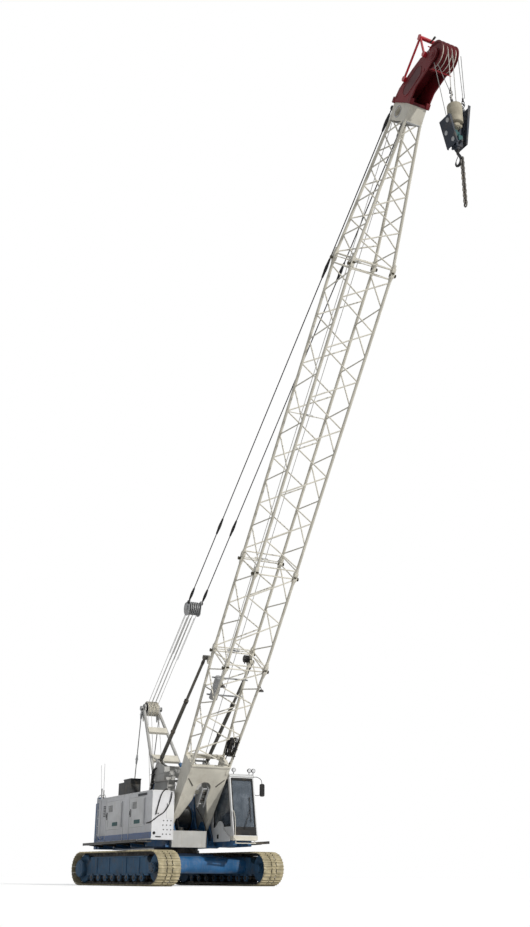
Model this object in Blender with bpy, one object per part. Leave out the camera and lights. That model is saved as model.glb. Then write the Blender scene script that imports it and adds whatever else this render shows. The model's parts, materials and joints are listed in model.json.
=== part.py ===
"""Crawler crane with a lattice boom, in separate pieces placed on their joints.

Metres, +Z up, +X the way the upper structure faces, +Y to its left. Heights in the
named sizes are above the ground. The model's origin lies on the slew axis, at the
underside of the carbody, so the ground is GROUND_CLEARANCE below it.
"""

import math

import bmesh
import bpy
from mathutils import Vector

# Fits between pieces
SEAT = 0.0003            # gap between pieces that touch
RUNNING = 0.006          # gap beside pieces that move
PIN_SIDES = 10

# Undercarriage
GROUND_CLEARANCE = 0.36
SLEW_ANGLE = 9.3
TRACK_LENGTH = 5.44
TRACK_HEIGHT = 1.0
TRACKS_WIDTH = 4.50
SHOE_WIDTH = 0.75
SHOE_COUNT = 56
SHOE_GAP = 0.035
SHOE_THICKNESS = 0.06
LINK_THICKNESS = 0.06
LINK_WIDTH = 0.24
WHEEL_ARC_STEPS = 8
FRAME_WIDTH = 0.40
FRAME_TOP = 0.84
FRAME_BOTTOM = 0.30
FRAME_HALF_LENGTH = 1.78
ROLLER_RADIUS = 0.115
ROLLER_SIDES = 6
ROLLER_COUNT = 8
ROLLER_PITCH = 0.44
CARBODY_TOP = 0.94
CARBODY_HALF = 0.86
AXLE_BEAM_X = 1.06
AXLE_BEAM_WIDTH = 0.52
AXLE_BEAM_TOP = 0.84
SLEW_RING_RADIUS = 0.74
SLEW_RING_BORE = 0.52
RING_SIDES = 24
DECK_Z = 1.10

# Revolving frame and boom foot
FRAME_REAR_X = -3.36
FRAME_FRONT_X = 1.30
FLOOR_THICKNESS = 0.06
BOOM_FOOT_X = 0.836
BOOM_FOOT_Z = 1.726
BOOM_ANGLE = 52.27
FOOT_PIN_RADIUS = 0.060
FOOT_EYE_RADIUS = 0.14
LEG_INNER_Y = 0.55
LEG_OUTER_Y = 0.66
WEB_THICKNESS = 0.050
WINCH_TOP_Z = 2.22
WINCH_AXIS_Z = 2.02
WINCH_XS = (-0.22, -1.30)
WINCH_SHAFT_RADIUS = 0.07
WINCH_DRUM_RADIUS = 0.27
WINCH_FLANGE_RADIUS = 0.42

# Machine house, counterweight and decks
HOUSE_OUTER_Y = 1.50
HOUSE_INNER_Y = 0.78
HOUSE_BOTTOM = 1.30
HOUSE_TOP = 2.72
HOUSE_FRONT_X = 1.60
HOUSE_LEFT_FRONT_X = 0.98
HOUSE_WALL = 0.03
HOOD_FRONT_X = -2.14
HOOD_REAR_X = -3.10
DOOR_THICKNESS = 0.028
DOOR_BOTTOM = 1.70
DOOR_TOP = 2.58
HINGE_RADIUS = 0.018
HINGE_STAND = 0.004
COUNTERWEIGHT_REAR_X = -3.92
COUNTERWEIGHT_TOP = 2.60
CATWALK_TOP = 1.26
CATWALK_THICKNESS = 0.03
CATWALK_RIGHT_Y = -1.98
CATWALK_LEFT_Y = 2.20

# Cab
CAB_RIGHT_Y = 0.72
CAB_LEFT_Y = 1.56
CAB_REAR_X = 1.15
CAB_FRONT_X = 2.66
CAB_LEAN = 0.33
CAB_FLOOR_BOTTOM = 1.30
CAB_FLOOR_TOP = 1.42
CAB_ROOF_BOTTOM = 3.17
CAB_ROOF_TOP = 3.25
CAB_WALL = 0.045
GLASS = 0.008
DOOR_POST_X = 1.45

# Gantry and the boom's stays
GANTRY_HEAD_X = -2.65
GANTRY_HEAD_Z = 5.80
GANTRY_FOOT_X = -0.43
GANTRY_FOOT_Z = 2.98
GANTRY_POST_RADIUS = 0.055
POST_SIDES = 8
GANTRY_SHEAVE_RADIUS = 0.25
GANTRY_PIN_RADIUS = 0.035
FALL_PITCH = 0.066
FALL_COUNT = 6
FALL_RADIUS = 0.008
FALL_OFFSET = 0.17
FALLS_LENGTH = 4.50
BRIDLE_FALLS_LENGTH = 2.10
BRIDLE_RADIUS = 0.26
BRIDLE_CHEEK = 0.022
PENDANT_EYE_WIDTH = 0.045
BRIDLE_GUARD_RADIUS = 0.03
BRIDLE_DISC_RADIUS = 0.22
TIP_ANCHOR_BACK = 0.14
TIP_ANCHOR_RISE = 0.07
PENDANT_RADIUS = 0.016
PENDANT_JOINTS = (4.75, 13.85)
TIE_FOOT_X = -3.24
TIE_FOOT_Z = 2.95
TIE_Y = 0.30

# Boom; s runs along it from the foot pin
CHORD_HALF_WIDTH = 0.6425
CHORD_HALF_DEPTH = 0.560
CHORD_RADIUS = 0.041
LACING_RADIUS = 0.018
CHORD_SIDES = 6
LACING_SIDES = 4
BASE_BAYS = 6
SHORT_BAYS = 4
LONG_BAYS = 12
TOP_BAYS = 8
BASE_PLATE_S = 2.40
JOINT_1_S = 5.88
INSERT_SHORT = 3.05
INSERT_LONG = 9.15
TIP_BOX_S = 21.95
HEAD_S = 22.42
TIP_HALF_WIDTH = 0.262
TIP_REAR = 0.60          # the tip's rear and front faces, from the boom's middle line
TIP_FRONT = -0.30
HEAD_AXIS_S = 23.66
HEAD_AXIS_N = 0.73
HEAD_EAR_RADIUS = 0.20
HEAD_PIN_RADIUS = 0.055
SHEAVE_RADIUS = 0.385
SHEAVE_GROOVE = 0.050
SHEAVE_PITCH = 0.132
SHEAVE_COUNT = 4
HEAD_PLATE = 0.035
HEAD_DECK = 0.07
STRUT_REACH = (0.44, 0.85)     # from the sheaves' axis to the strut's top
STRUT_APEX = (HEAD_AXIS_S + STRUT_REACH[0], STRUT_REACH[1] - HEAD_AXIS_N)
STRUT_REAR_S = 23.02
STRUT_REAR_Z = 0.30
STRUT_FRONT_S = 23.66
STRUT_FRONT_Z = -0.36
STRUT_EYE_HALF = 0.035

# Backstops
BACKSTOP_Y = 0.80
BACKSTOP_FOOT_X = 0.37
BACKSTOP_FOOT_Z = 3.70
BACKSTOP_EYE_S = 5.50
BACKSTOP_EYE_Z = 0.66
BACKSTOP_TUBE_RADIUS = 0.060
BACKSTOP_ROD_RADIUS = 0.044
BACKSTOP_TUBE_LENGTH = 2.60
BACKSTOP_ROD_START = 1.55
BACKSTOP_PIN_RADIUS = 0.035
BACKSTOP_EYE_HALF = 0.045

# Tower that carries the backstops
TOWER_TOP = 3.60
TOWER_FOOT_Z = 1.60
TOWER_REAR_X = -0.60
TOWER_FOOT_FRONT_X = 0.55
TOWER_FRONT_X = 0.95
TOWER_KNEE_Z = 3.05
TOWER_SHOULDER = (-0.10, 3.20)
TOWER_OUTER_PLATE = 0.03
TOWER_PLATE_X = (0.50, 0.56)
TOWER_PLATE_Z = (2.78, 3.56)
TOWER_GATE_HALF = 0.34
TOWER_GATE_TOP = 3.20

# Box under the boom's foot
FRONT_BOX_LENGTH = 0.15
FRONT_BOX_Y = (-0.76, 0.40)
FRONT_BOX_TOP = 1.58

# Hook group; z is its depth under the head sheaves' axis
FALLS_DROP = 1.77
WEIGHT_RADIUS = 0.19
WEIGHT_HEIGHT = 0.57
CHEEK_HEIGHT = 1.26
CHEEK_HALF = 0.19
CHEEK_TOPS = {"right": 0.50, "left": 0.02}
HOOK_SWIVEL_DROP = 3.13
HOOK_LENGTH = 0.46
CHAIN_LENGTH = 1.42
CHAIN_PITCH = 0.15
HOIST_ROPE_RADIUS = 0.011

JOINT_2_S = JOINT_1_S + INSERT_SHORT
JOINT_3_S = JOINT_2_S + INSERT_LONG
TRACK_CENTRE_Y = (TRACKS_WIDTH - SHOE_WIDTH) / 2
WHEEL_X = (TRACK_LENGTH - TRACK_HEIGHT) / 2
WHEEL_Z = TRACK_HEIGHT / 2
EAR_INNER_Y = LEG_INNER_Y - RUNNING
EAR_OUTER_Y = LEG_OUTER_Y + RUNNING

# name: red, green, blue, roughness, metallic
FINISHES = {
    "blue_paint": (0.02, 0.13, 0.42, 0.55, 0.0),
    "dusty_steel": (0.42, 0.37, 0.27, 0.9, 0.1),
    "dark_steel": (0.06, 0.06, 0.06, 0.6, 0.6),
    "cream_paint": (0.72, 0.70, 0.62, 0.5, 0.0),
    "white_paint": (0.80, 0.80, 0.78, 0.45, 0.0),
    "grey_steel": (0.35, 0.36, 0.36, 0.5, 0.5),
    "black_paint": (0.02, 0.02, 0.022, 0.5, 0.0),
    "red_paint": (0.42, 0.03, 0.03, 0.5, 0.0),
    "rope_steel": (0.20, 0.20, 0.20, 0.5, 0.8),
    "glass": (0.05, 0.08, 0.10, 0.05, 0.0),
    "fabric": (0.05, 0.05, 0.055, 0.9, 0.0),
}


def clear_scene():
    """Remove the scene's objects."""
    for item in list(bpy.data.objects):
        bpy.data.objects.remove(item)


def make_finish(name):
    """Return the Principled material of one finish."""
    red, green, blue, rough, metal = FINISHES[name]
    finish = bpy.data.materials.new(name)
    finish.use_nodes = True
    shader = finish.node_tree.nodes["Principled BSDF"]
    shader.inputs["Base Color"].default_value = (red, green, blue, 1.0)
    shader.inputs["Roughness"].default_value = rough
    shader.inputs["Metallic"].default_value = metal
    finish.diffuse_color = (red, green, blue, 1.0)
    return finish


def holder(name, parent=None, place=(0, 0, 0), turn_y=0.0, turn_z=0.0):
    """Return an empty that places what is parented to it; turns are in degrees."""
    empty = bpy.data.objects.new(name, None)
    empty.location = place
    empty.rotation_euler = (0.0, math.radians(turn_y), math.radians(turn_z))
    empty.parent = parent
    bpy.context.scene.collection.objects.link(empty)
    return empty


def skin(rings, closed=False):
    """Return a closed solid over a row of equal rings, capped or joined end to end."""
    solid = bmesh.new()
    rows = [[solid.verts.new(point) for point in ring] for ring in rings]
    count = len(rows[0])
    following = rows[1:] + rows[:1] if closed else rows[1:]
    for near, far in zip(rows, following):
        for i in range(count):
            j = (i + 1) % count
            solid.faces.new((near[i], near[j], far[j], far[i]))
    if not closed:
        solid.faces.new(rows[0])
        solid.faces.new(rows[-1])
    bmesh.ops.recalc_face_normals(solid, faces=solid.faces)
    return solid


def prism(outline, low, high, along="Y"):
    """Extrude an outline: (x, z) points along Y, (x, y) along Z or (y, z) along X."""
    def put(u, v, w):
        return {"X": (w, u, v), "Y": (u, w, v), "Z": (u, v, w)}[along]
    return skin([[put(u, v, w) for u, v in outline] for w in (low, high)])


def box(x, y, z):
    """Return a box from three (low, high) pairs."""
    return prism([(x[0], z[0]), (x[1], z[0]), (x[1], z[1]), (x[0], z[1])], y[0], y[1])


def circle(radius, steps, centre=(0.0, 0.0), start=0.0, sweep=360.0):
    """Return points on a circle, or on an arc with both its ends."""
    count = steps if sweep >= 360.0 else steps + 1
    turns = [math.radians(start + sweep * i / steps) for i in range(count)]
    return [(centre[0] + radius * math.cos(a), centre[1] + radius * math.sin(a)) for a in turns]


def bore_radius(pin_radius, sides=PIN_SIDES):
    """Return the corner radius of a bore that a pin of as many sides turns freely in."""
    return (pin_radius + SEAT) / math.cos(math.pi / sides)


def frame_of(direction):
    """Return two unit vectors square to a direction."""
    axis = Vector(direction).normalized()
    guide = Vector((0, 1, 0)) if abs(axis.y) < 0.9 else Vector((0, 0, 1))
    first = axis.cross(guide).normalized()
    return first, axis.cross(first)


def turned(profile, base=(0, 0, 0), axis=(0, 1, 0), sides=16, closed=False, phase=0.0):
    """Turn (distance along the axis, radius) points about an axis through base."""
    along = Vector(axis).normalized()
    first, second = frame_of(along)
    rings = []
    for distance, radius in profile:
        centre = Vector(base) + along * distance
        rings.append([centre + (first * u + second * v) * radius for u, v in circle(1.0, sides, start=phase)])
    return skin(rings, closed)


def rod(start, end, radius, sides=8, end_radius=None, phase=0.0):
    """Return a round bar between two points, its first corner turned by phase."""
    span = Vector(end) - Vector(start)
    last = radius if end_radius is None else end_radius
    return turned([(0.0, radius), (span.length, last)], start, span, sides, phase=phase)


def cross_rod(x, z, half_width, radius, sides=16):
    """Return a round bar along Y, centred on the middle plane."""
    return rod((x, -half_width, z), (x, half_width, z), radius, sides)


def combine(target, operation, operands):
    """Join operands to the target's mesh, or cut them from it, in one exact step."""
    group = bpy.data.collections.new("operands")
    bpy.context.scene.collection.children.link(group)
    for operand in operands:
        mesh = bpy.data.meshes.new("operand")
        operand.to_mesh(mesh)
        operand.free()
        helper = bpy.data.objects.new("operand", mesh)
        helper.hide_render = True
        helper.display_type = "WIRE"
        group.objects.link(helper)
    step = target.modifiers.new(operation.title(), "BOOLEAN")
    step.operation = operation
    step.operand_type = "COLLECTION"
    step.collection = group
    step.solver = "EXACT"
    graph = bpy.context.evaluated_depsgraph_get()
    target.data = bpy.data.meshes.new_from_object(target.evaluated_get(graph))
    target.modifiers.clear()
    for helper in list(group.objects):
        bpy.data.objects.remove(helper)
    bpy.data.collections.remove(group)


def piece(name, parent, finish, solids, cuts=()):
    """Join solids, take the cuts out and keep the result as one named object."""
    mesh = bpy.data.meshes.new(name)
    solids[0].to_mesh(mesh)
    solids[0].free()
    part = bpy.data.objects.new(name, mesh)
    bpy.context.scene.collection.objects.link(part)
    if len(solids) > 1:
        combine(part, "UNION", solids[1:])
    if cuts:
        combine(part, "DIFFERENCE", cuts)
    tidy = bmesh.new()
    tidy.from_mesh(part.data)
    bmesh.ops.remove_doubles(tidy, verts=tidy.verts, dist=0.00005)
    bmesh.ops.dissolve_degenerate(tidy, edges=tidy.edges, dist=0.00005)
    bmesh.ops.dissolve_limit(tidy, angle_limit=math.radians(0.05), verts=tidy.verts, edges=tidy.edges)
    tidy.to_mesh(part.data)
    tidy.free()
    part.data.materials.clear()
    part.data.materials.append(finish)
    part.data.shade_smooth()
    part.data.set_sharp_from_angle(angle=math.radians(35))
    part.parent = parent
    return part


def mirror_sides():
    """Return each side's name and its sign along Y."""
    return (("right", -1), ("left", 1))


def span_y(sign, low, high):
    """Return a (low, high) pair on one side of the middle plane."""
    return (low, high) if sign > 0 else (-high, -low)


def loop_point(distance, radius):
    """Return the (x, z) of a track's path, its outer line offset to radius."""
    straight = 2 * WHEEL_X
    arc = math.pi * WHEEL_Z
    distance %= 2 * (straight + arc)
    if distance < straight:
        return WHEEL_X - distance, WHEEL_Z + radius
    distance -= straight
    if distance < arc:
        turn = math.pi / 2 + distance / WHEEL_Z
        return -WHEEL_X + radius * math.cos(turn), WHEEL_Z + radius * math.sin(turn)
    distance -= arc
    if distance < straight:
        return -WHEEL_X + distance, WHEEL_Z - radius
    turn = -math.pi / 2 + (distance - straight) / WHEEL_Z
    return WHEEL_X + radius * math.cos(turn), WHEEL_Z + radius * math.sin(turn)


def stadium(radius):
    """Return a track loop's smooth outline at one radius about its end wheels."""
    rear = circle(radius, WHEEL_ARC_STEPS, (-WHEEL_X, WHEEL_Z), 90, 180)
    return rear + circle(radius, WHEEL_ARC_STEPS, (WHEEL_X, WHEEL_Z), -90, 180)


def build_track(side, sign, base, finish):
    """One fixed track loop: shoes in its outline and a link ring inside."""
    centre = sign * TRACK_CENTRE_Y
    pitch = (4 * WHEEL_X + 2 * math.pi * WHEEL_Z) / SHOE_COUNT
    outline = []
    for shoe in range(SHOE_COUNT):
        start = shoe * pitch + SHOE_GAP / 2
        end = (shoe + 1) * pitch - SHOE_GAP / 2
        outline += [loop_point(start, WHEEL_Z - SHOE_THICKNESS / 2), loop_point(start, WHEEL_Z),
                    loop_point(end, WHEEL_Z), loop_point(end, WHEEL_Z - SHOE_THICKNESS / 2)]
    shoes = prism(outline, centre - SHOE_WIDTH / 2, centre + SHOE_WIDTH / 2)
    links = WHEEL_Z - SHOE_THICKNESS - LINK_THICKNESS
    half_link = LINK_WIDTH / 2
    outer_cuts = [prism(stadium(WHEEL_Z - SHOE_THICKNESS), centre + sign_y * half_link,
                        centre + sign_y * SHOE_WIDTH) for sign_y in (-1, 1)]
    middle_cut = prism(stadium(links), centre - SHOE_WIDTH, centre + SHOE_WIDTH)
    piece(f"track_{side}", base, finish, [shoes], [middle_cut] + outer_cuts)


def build_track_frame(side, sign, base, finish):
    """A track's side frame with its rollers, idler and drive wheel."""
    centre = sign * TRACK_CENTRE_Y
    half = FRAME_WIDTH / 2
    low, high = FRAME_BOTTOM, FRAME_TOP
    reach = FRAME_HALF_LENGTH
    outline = [(-reach, low), (reach, low), (reach + 0.14, low + 0.14), (reach + 0.14, low + 0.3),
               (reach - 0.2, high), (-reach + 0.2, high), (-reach - 0.14, low + 0.3),
               (-reach - 0.14, low + 0.14)]
    solids = [prism(outline, centre - half, centre + half)]
    wheel_radius = WHEEL_Z - SHOE_THICKNESS - LINK_THICKNESS - SEAT
    flange_radius = WHEEL_Z - SHOE_THICKNESS - 0.012
    for wheel_x in (-WHEEL_X, WHEEL_X):
        towards = 1 if wheel_x > 0 else -1
        for dy in (-1, 1):
            plate = [(towards * 1.5, WHEEL_Z - 0.15)] + circle(0.15, 6, (wheel_x, WHEEL_Z), -90, towards * 180)
            plate += [(towards * 1.5, WHEEL_Z + 0.15)]
            solids.append(prism(plate, centre + dy * (half - 0.045), centre + dy * half))
        half_link = LINK_WIDTH / 2
        wheel = [(-0.158, flange_radius - 0.03), (-half_link - SEAT, flange_radius),
                 (-half_link - SEAT, wheel_radius), (half_link + SEAT, wheel_radius),
                 (half_link + SEAT, flange_radius), (0.158, flange_radius - 0.03)]
        solids.append(turned(wheel, (wheel_x, centre, WHEEL_Z), (0, 1, 0), 2 * WHEEL_ARC_STEPS))
        solids.append(rod((wheel_x, centre - 0.30, WHEEL_Z), (wheel_x, centre + 0.30, WHEEL_Z), 0.12, 10))
    solids.append(rod((-WHEEL_X, centre, WHEEL_Z), (-WHEEL_X, centre + sign * 0.35, WHEEL_Z), 0.24, 12))
    roller_z = SHOE_THICKNESS + LINK_THICKNESS + SEAT + ROLLER_RADIUS
    for i in range(ROLLER_COUNT):
        x = (i - (ROLLER_COUNT - 1) / 2) * ROLLER_PITCH
        solids.append(rod((x, centre - 0.26, roller_z), (x, centre + 0.26, roller_z), ROLLER_RADIUS, ROLLER_SIDES))
    links_under = TRACK_HEIGHT - SHOE_THICKNESS - LINK_THICKNESS - SEAT
    for x in (-0.85, 0.85):
        solids.append(box((x - 0.2, x + 0.2), (centre - 0.1, centre + 0.1), (high - 0.05, links_under)))
    cuts = []
    for i in range(6):
        x = (i - 2.5) * 0.52
        pocket = [(x - 0.17, low + 0.16), (x + 0.17, low + 0.16), (x + 0.14, high - 0.12), (x - 0.14, high - 0.12)]
        cuts.append(prism(pocket, *span_y(sign, abs(centre) + half - 0.06, abs(centre) + half + 0.02)))
    piece(f"track_frame_{side}", base, finish, solids, cuts)


def build_undercarriage(base, finishes):
    """Carbody, slew ring, side frames and tracks."""
    beam_end = TRACK_CENTRE_Y - FRAME_WIDTH / 2 - SEAT
    low = GROUND_CLEARANCE
    solids = [box((-CARBODY_HALF, CARBODY_HALF), (-CARBODY_HALF, CARBODY_HALF), (low, CARBODY_TOP - 0.02))]
    for x in (-AXLE_BEAM_X, AXLE_BEAM_X):
        outward = 1 if x > 0 else -1
        nose = x + outward * AXLE_BEAM_WIDTH / 2
        outline = [(x - outward * AXLE_BEAM_WIDTH / 2, low), (nose, low)]
        outline += circle(0.17, 6, (nose, low + 0.17), -90, outward * 90)[1:]
        outline += circle(0.17, 6, (nose, AXLE_BEAM_TOP - 0.17), 0 if outward > 0 else 180, outward * 90)
        outline += [(x - outward * AXLE_BEAM_WIDTH / 2, AXLE_BEAM_TOP)]
        solids.append(prism(outline, -beam_end, beam_end))
    ring_top = DECK_Z - SEAT
    solids.append(rod((0, 0, low + 0.1), (0, 0, CARBODY_TOP), SLEW_RING_RADIUS + 0.10, RING_SIDES))
    piece("carbody", base, finishes["blue_paint"], solids)
    ring = [(CARBODY_TOP + SEAT, SLEW_RING_BORE), (CARBODY_TOP + SEAT, SLEW_RING_RADIUS),
            (ring_top - 0.06, SLEW_RING_RADIUS), (ring_top - 0.06, SLEW_RING_RADIUS - 0.04),
            (ring_top, SLEW_RING_RADIUS - 0.04), (ring_top, SLEW_RING_BORE)]
    piece("slew_ring", base, finishes["dark_steel"],
          [turned(ring, (0, 0, 0), (0, 0, 1), RING_SIDES, closed=True)])
    for side, sign in mirror_sides():
        build_track(side, sign, base, finishes["dusty_steel"])
        build_track_frame(side, sign, base, finishes["blue_paint"])


def build_revolving_frame(upper, finishes):
    """Deck, webs with the boom's and gantry's ears, winch carriers and outriggers."""
    deck_top = DECK_Z + FLOOR_THICKNESS
    solids = [box((FRAME_REAR_X + SEAT, FRAME_FRONT_X), (-0.90, 0.90), (DECK_Z, deck_top))]
    ear = circle(0.17, 6, (BOOM_FOOT_X, BOOM_FOOT_Z), 0, 150)
    low_web = [(FRAME_REAR_X + SEAT, DECK_Z + 0.01), (FRAME_FRONT_X, DECK_Z + 0.01), (FRAME_FRONT_X - 0.05, 1.40)]
    inner = low_web + ear + [(0.45, 1.62), (0.10, WINCH_TOP_Z), (-1.85, WINCH_TOP_Z), (-2.05, 1.58),
                             (TIE_FOOT_X + 0.12, 1.58), (TIE_FOOT_X + 0.12, 2.7)]
    inner += circle(0.10, 6, (TIE_FOOT_X, TIE_FOOT_Z), 0, 180) + [(TIE_FOOT_X - 0.10, 1.5),
                                                              (FRAME_REAR_X + SEAT, 1.5)]
    outer = low_web + ear + [(0.45, 1.60), (0.0, 1.60), (GANTRY_FOOT_X + 0.16, 2.80)]
    outer += circle(0.13, 6, (GANTRY_FOOT_X, GANTRY_FOOT_Z), 0, 180) + [(-1.05, 1.60), (FRAME_REAR_X + SEAT, 1.40)]
    for _, sign in mirror_sides():
        solids.append(prism(inner, *span_y(sign, EAR_INNER_Y - WEB_THICKNESS, EAR_INNER_Y)))
        solids.append(prism(outer, *span_y(sign, EAR_OUTER_Y, EAR_OUTER_Y + WEB_THICKNESS)))
        solids.append(rod((BOOM_FOOT_X, sign * (EAR_INNER_Y - WEB_THICKNESS - 0.02), BOOM_FOOT_Z),
                          (BOOM_FOOT_X, sign * (EAR_OUTER_Y + WEB_THICKNESS + 0.02), BOOM_FOOT_Z),
                          FOOT_PIN_RADIUS, PIN_SIDES))
        for x in (-3.22, -1.70, -0.10, 1.15):
            solids.append(box((x - 0.06, x + 0.06), span_y(sign, 0.6, HOUSE_OUTER_Y - 0.02),
                              (DECK_Z + 0.02, HOUSE_BOTTOM - SEAT)))
    for y in (0.86, 1.36):
        solids.append(box((1.00, CAB_FRONT_X - 0.15), (y - 0.06, y + 0.06), (DECK_Z + 0.02, CAB_FLOOR_BOTTOM - SEAT)))
    tie_inner = EAR_INNER_Y - WEB_THICKNESS
    solids.append(cross_rod(TIE_FOOT_X, TIE_FOOT_Z, tie_inner + 0.01, GANTRY_PIN_RADIUS, PIN_SIDES))
    shaft_bores = [cross_rod(x, WINCH_AXIS_Z, 1.0, bore_radius(WINCH_SHAFT_RADIUS), PIN_SIDES) for x in WINCH_XS]
    piece("revolving_frame", upper, finishes["blue_paint"], solids, shaft_bores)


def build_front_box(upper, finishes):
    """The box across the deck's front, under the boom's foot."""
    front = FRAME_FRONT_X + SEAT
    solid = box((front, front + FRONT_BOX_LENGTH), FRONT_BOX_Y, (DECK_Z + SEAT, FRONT_BOX_TOP))
    piece("front_box", upper, finishes["white_paint"], [solid])


def build_winches(upper, finishes):
    """The two hoist drums on their shafts."""
    flange_y = EAR_INNER_Y - WEB_THICKNESS - RUNNING
    for name, x in zip(("winch_front", "winch_rear"), WINCH_XS):
        shaft = flange_y + RUNNING + WEB_THICKNESS - 0.004
        profile = [(-flange_y, WINCH_FLANGE_RADIUS), (-flange_y + 0.03, WINCH_FLANGE_RADIUS),
                   (-flange_y + 0.03, WINCH_DRUM_RADIUS)]
        profile += [(-distance, radius) for distance, radius in reversed(profile)]
        axis = holder(f"{name}_axis", upper, (x, 0, WINCH_AXIS_Z), 180 / PIN_SIDES)
        drum = [turned(profile, sides=20), cross_rod(0, 0, shaft, WINCH_SHAFT_RADIUS, PIN_SIDES)]
        piece(name, axis, finishes["dark_steel"], drum)


def door_hinge(solids, x, y, z_low, z_high, gap):
    """Add two blocks that hold a door's barrel between them, with the gap at its ends."""
    solids.append(box((x - 0.03, x + HINGE_RADIUS), y, (z_low - 0.05, z_low - gap)))
    solids.append(box((x - 0.03, x + HINGE_RADIUS), y, (z_high + gap, z_high + 0.05)))


def hinge_strap(away, sign):
    """Return the plan of a strap from a barrel's axis to the panel beside it."""
    face = -sign * (HINGE_RADIUS + HINGE_STAND)
    step = away * (RUNNING + 0.004)
    return [(0, face + sign * 0.001), (step, face + sign * 0.001), (step, face - sign * 0.012),
            (away * 0.09, face - sign * 0.012), (away * 0.09, 0), (0, 0)]


def build_side_door(name, upper, finish, sign, front_x, width):
    """A house door, its barrel outside the face at its front edge."""
    outer = HOUSE_OUTER_Y
    axis_y = sign * (outer + HINGE_RADIUS + HINGE_STAND)
    axis = holder(f"{name}_axis", upper, (front_x, axis_y, 0))
    face = -HINGE_RADIUS - HINGE_STAND
    panel = span_y(sign, face - DOOR_THICKNESS, face)
    solids = [box((-width, -RUNNING), panel, (DOOR_BOTTOM, DOOR_TOP)),
              prism(hinge_strap(-1, sign), DOOR_BOTTOM + 0.15, DOOR_TOP - 0.15, "Z"),
              rod((0, 0, DOOR_BOTTOM + 0.1), (0, 0, DOOR_TOP - 0.1), HINGE_RADIUS, 12)]
    handle = span_y(sign, face - 0.006, face + 0.02)
    solids.append(box((-width + 0.06, -width + 0.10), handle, (2.05, 2.22)))
    piece(name, axis, finish, solids)


HOUSE_DOORS = (
    # name, side, hinge x, width
    ("door_right_front", -1, 0.98, 1.30),
    ("door_right_rear", -1, -1.02, 1.50),
    ("door_left", 1, -0.40, 1.50),
)


def build_houses(upper, finishes):
    """The two side houses with their doors, and the engine hood between their tails."""
    for side, sign in mirror_sides():
        front_x = HOUSE_FRONT_X if sign < 0 else HOUSE_LEFT_FRONT_X
        y = span_y(sign, HOUSE_INNER_Y, HOUSE_OUTER_Y)
        rear_x = FRAME_REAR_X + 2 * SEAT
        solids = [box((rear_x, front_x), y, (HOUSE_BOTTOM, HOUSE_TOP))]
        cuts = [box((rear_x + HOUSE_WALL, front_x - HOUSE_WALL),
                    span_y(sign, HOUSE_INNER_Y + HOUSE_WALL, HOUSE_OUTER_Y - HOUSE_WALL),
                    (HOUSE_BOTTOM + HOUSE_WALL, HOUSE_TOP - HOUSE_WALL))]
        for name, door_sign, hinge_x, width in HOUSE_DOORS:
            if door_sign != sign:
                continue
            build_side_door(name, upper, finishes["white_paint"], sign, hinge_x, width)
            cuts.append(box((hinge_x - width - RUNNING, hinge_x),
                            span_y(sign, HOUSE_OUTER_Y - 0.2, HOUSE_OUTER_Y + 0.1),
                            (DOOR_BOTTOM - RUNNING, DOOR_TOP + RUNNING)))
            door_hinge(solids, hinge_x + 0.03, span_y(sign, HOUSE_OUTER_Y - 0.01, HOUSE_OUTER_Y + 0.04),
                       DOOR_BOTTOM + 0.1, DOOR_TOP - 0.1, SEAT)
        piece(f"house_{side}", upper, finishes["white_paint"], solids, cuts)
    hood_y = HOUSE_INNER_Y - SEAT
    hood = [box((HOOD_REAR_X, HOOD_FRONT_X), (-hood_y, hood_y), (1.62, HOUSE_TOP))]
    hollow = [box((HOOD_REAR_X + HOUSE_WALL, HOOD_FRONT_X - HOUSE_WALL),
                  (-hood_y + HOUSE_WALL, hood_y - HOUSE_WALL), (1.5, HOUSE_TOP - HOUSE_WALL))]
    piece("engine_hood", upper, finishes["white_paint"], hood, hollow)
    piece("engine_block", upper, finishes["dark_steel"],
          [box((-2.98, -2.26), (-0.44, 0.44), (DECK_Z + FLOOR_THICKNESS + SEAT, 2.45))])
    piece("roof_box", upper, finishes["grey_steel"],
          [box((-3.08, -2.40), (-0.72, -0.36), (HOUSE_TOP + SEAT, 3.38))])


def build_counterweight(upper, finishes):
    """The tail weight, its back bowed and its ends rounded."""
    front = FRAME_REAR_X
    half = HOUSE_OUTER_Y
    corner = 0.22
    rear = COUNTERWEIGHT_REAR_X
    outline = [(front, -half)] + [(front, half)]
    outline += circle(corner, 5, (rear + corner + 0.12, half - corner), 90, 80)
    outline += [(rear + 0.02, half * 0.5), (rear, 0.0), (rear + 0.02, -half * 0.5)]
    outline += circle(corner, 5, (rear + corner + 0.12, corner - half), 190, 80)
    piece("counterweight", upper, finishes["blue_paint"],
          [prism(outline, DECK_Z + 0.02, COUNTERWEIGHT_TOP, "Z")])


def build_catwalks(upper, finishes):
    """Walkway decks along both sides, on brackets against the houses."""
    low = CATWALK_TOP - CATWALK_THICKNESS
    for side, sign, outer, ends in (("right", -1, -CATWALK_RIGHT_Y, (-3.34, 1.60)),
                                    ("left", 1, CATWALK_LEFT_Y, (-1.9, 2.20))):
        inner = HOUSE_OUTER_Y - 0.02 + SEAT
        solids = [box(ends, span_y(sign, inner, outer), (low, CATWALK_TOP))]
        reach = ends[1] - ends[0]
        for i in range(4):
            x = ends[0] + reach * (i + 0.5) / 4
            arm = [(inner, low - 0.07), (inner, low + 0.01), (outer - 0.02, low + 0.01), (outer - 0.02, low - 0.02)]
            solids.append(prism([(sign * y, z) for y, z in arm], x - 0.02, x + 0.02, "X"))
        piece(f"catwalk_{side}", upper, finishes["dark_steel"], solids)


def lean(z, inset=0.0):
    """Return the cab front's x at a height."""
    share = (z - CAB_FLOOR_TOP) / (CAB_ROOF_BOTTOM - CAB_FLOOR_TOP)
    return CAB_FRONT_X - CAB_LEAN * share - inset


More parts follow.
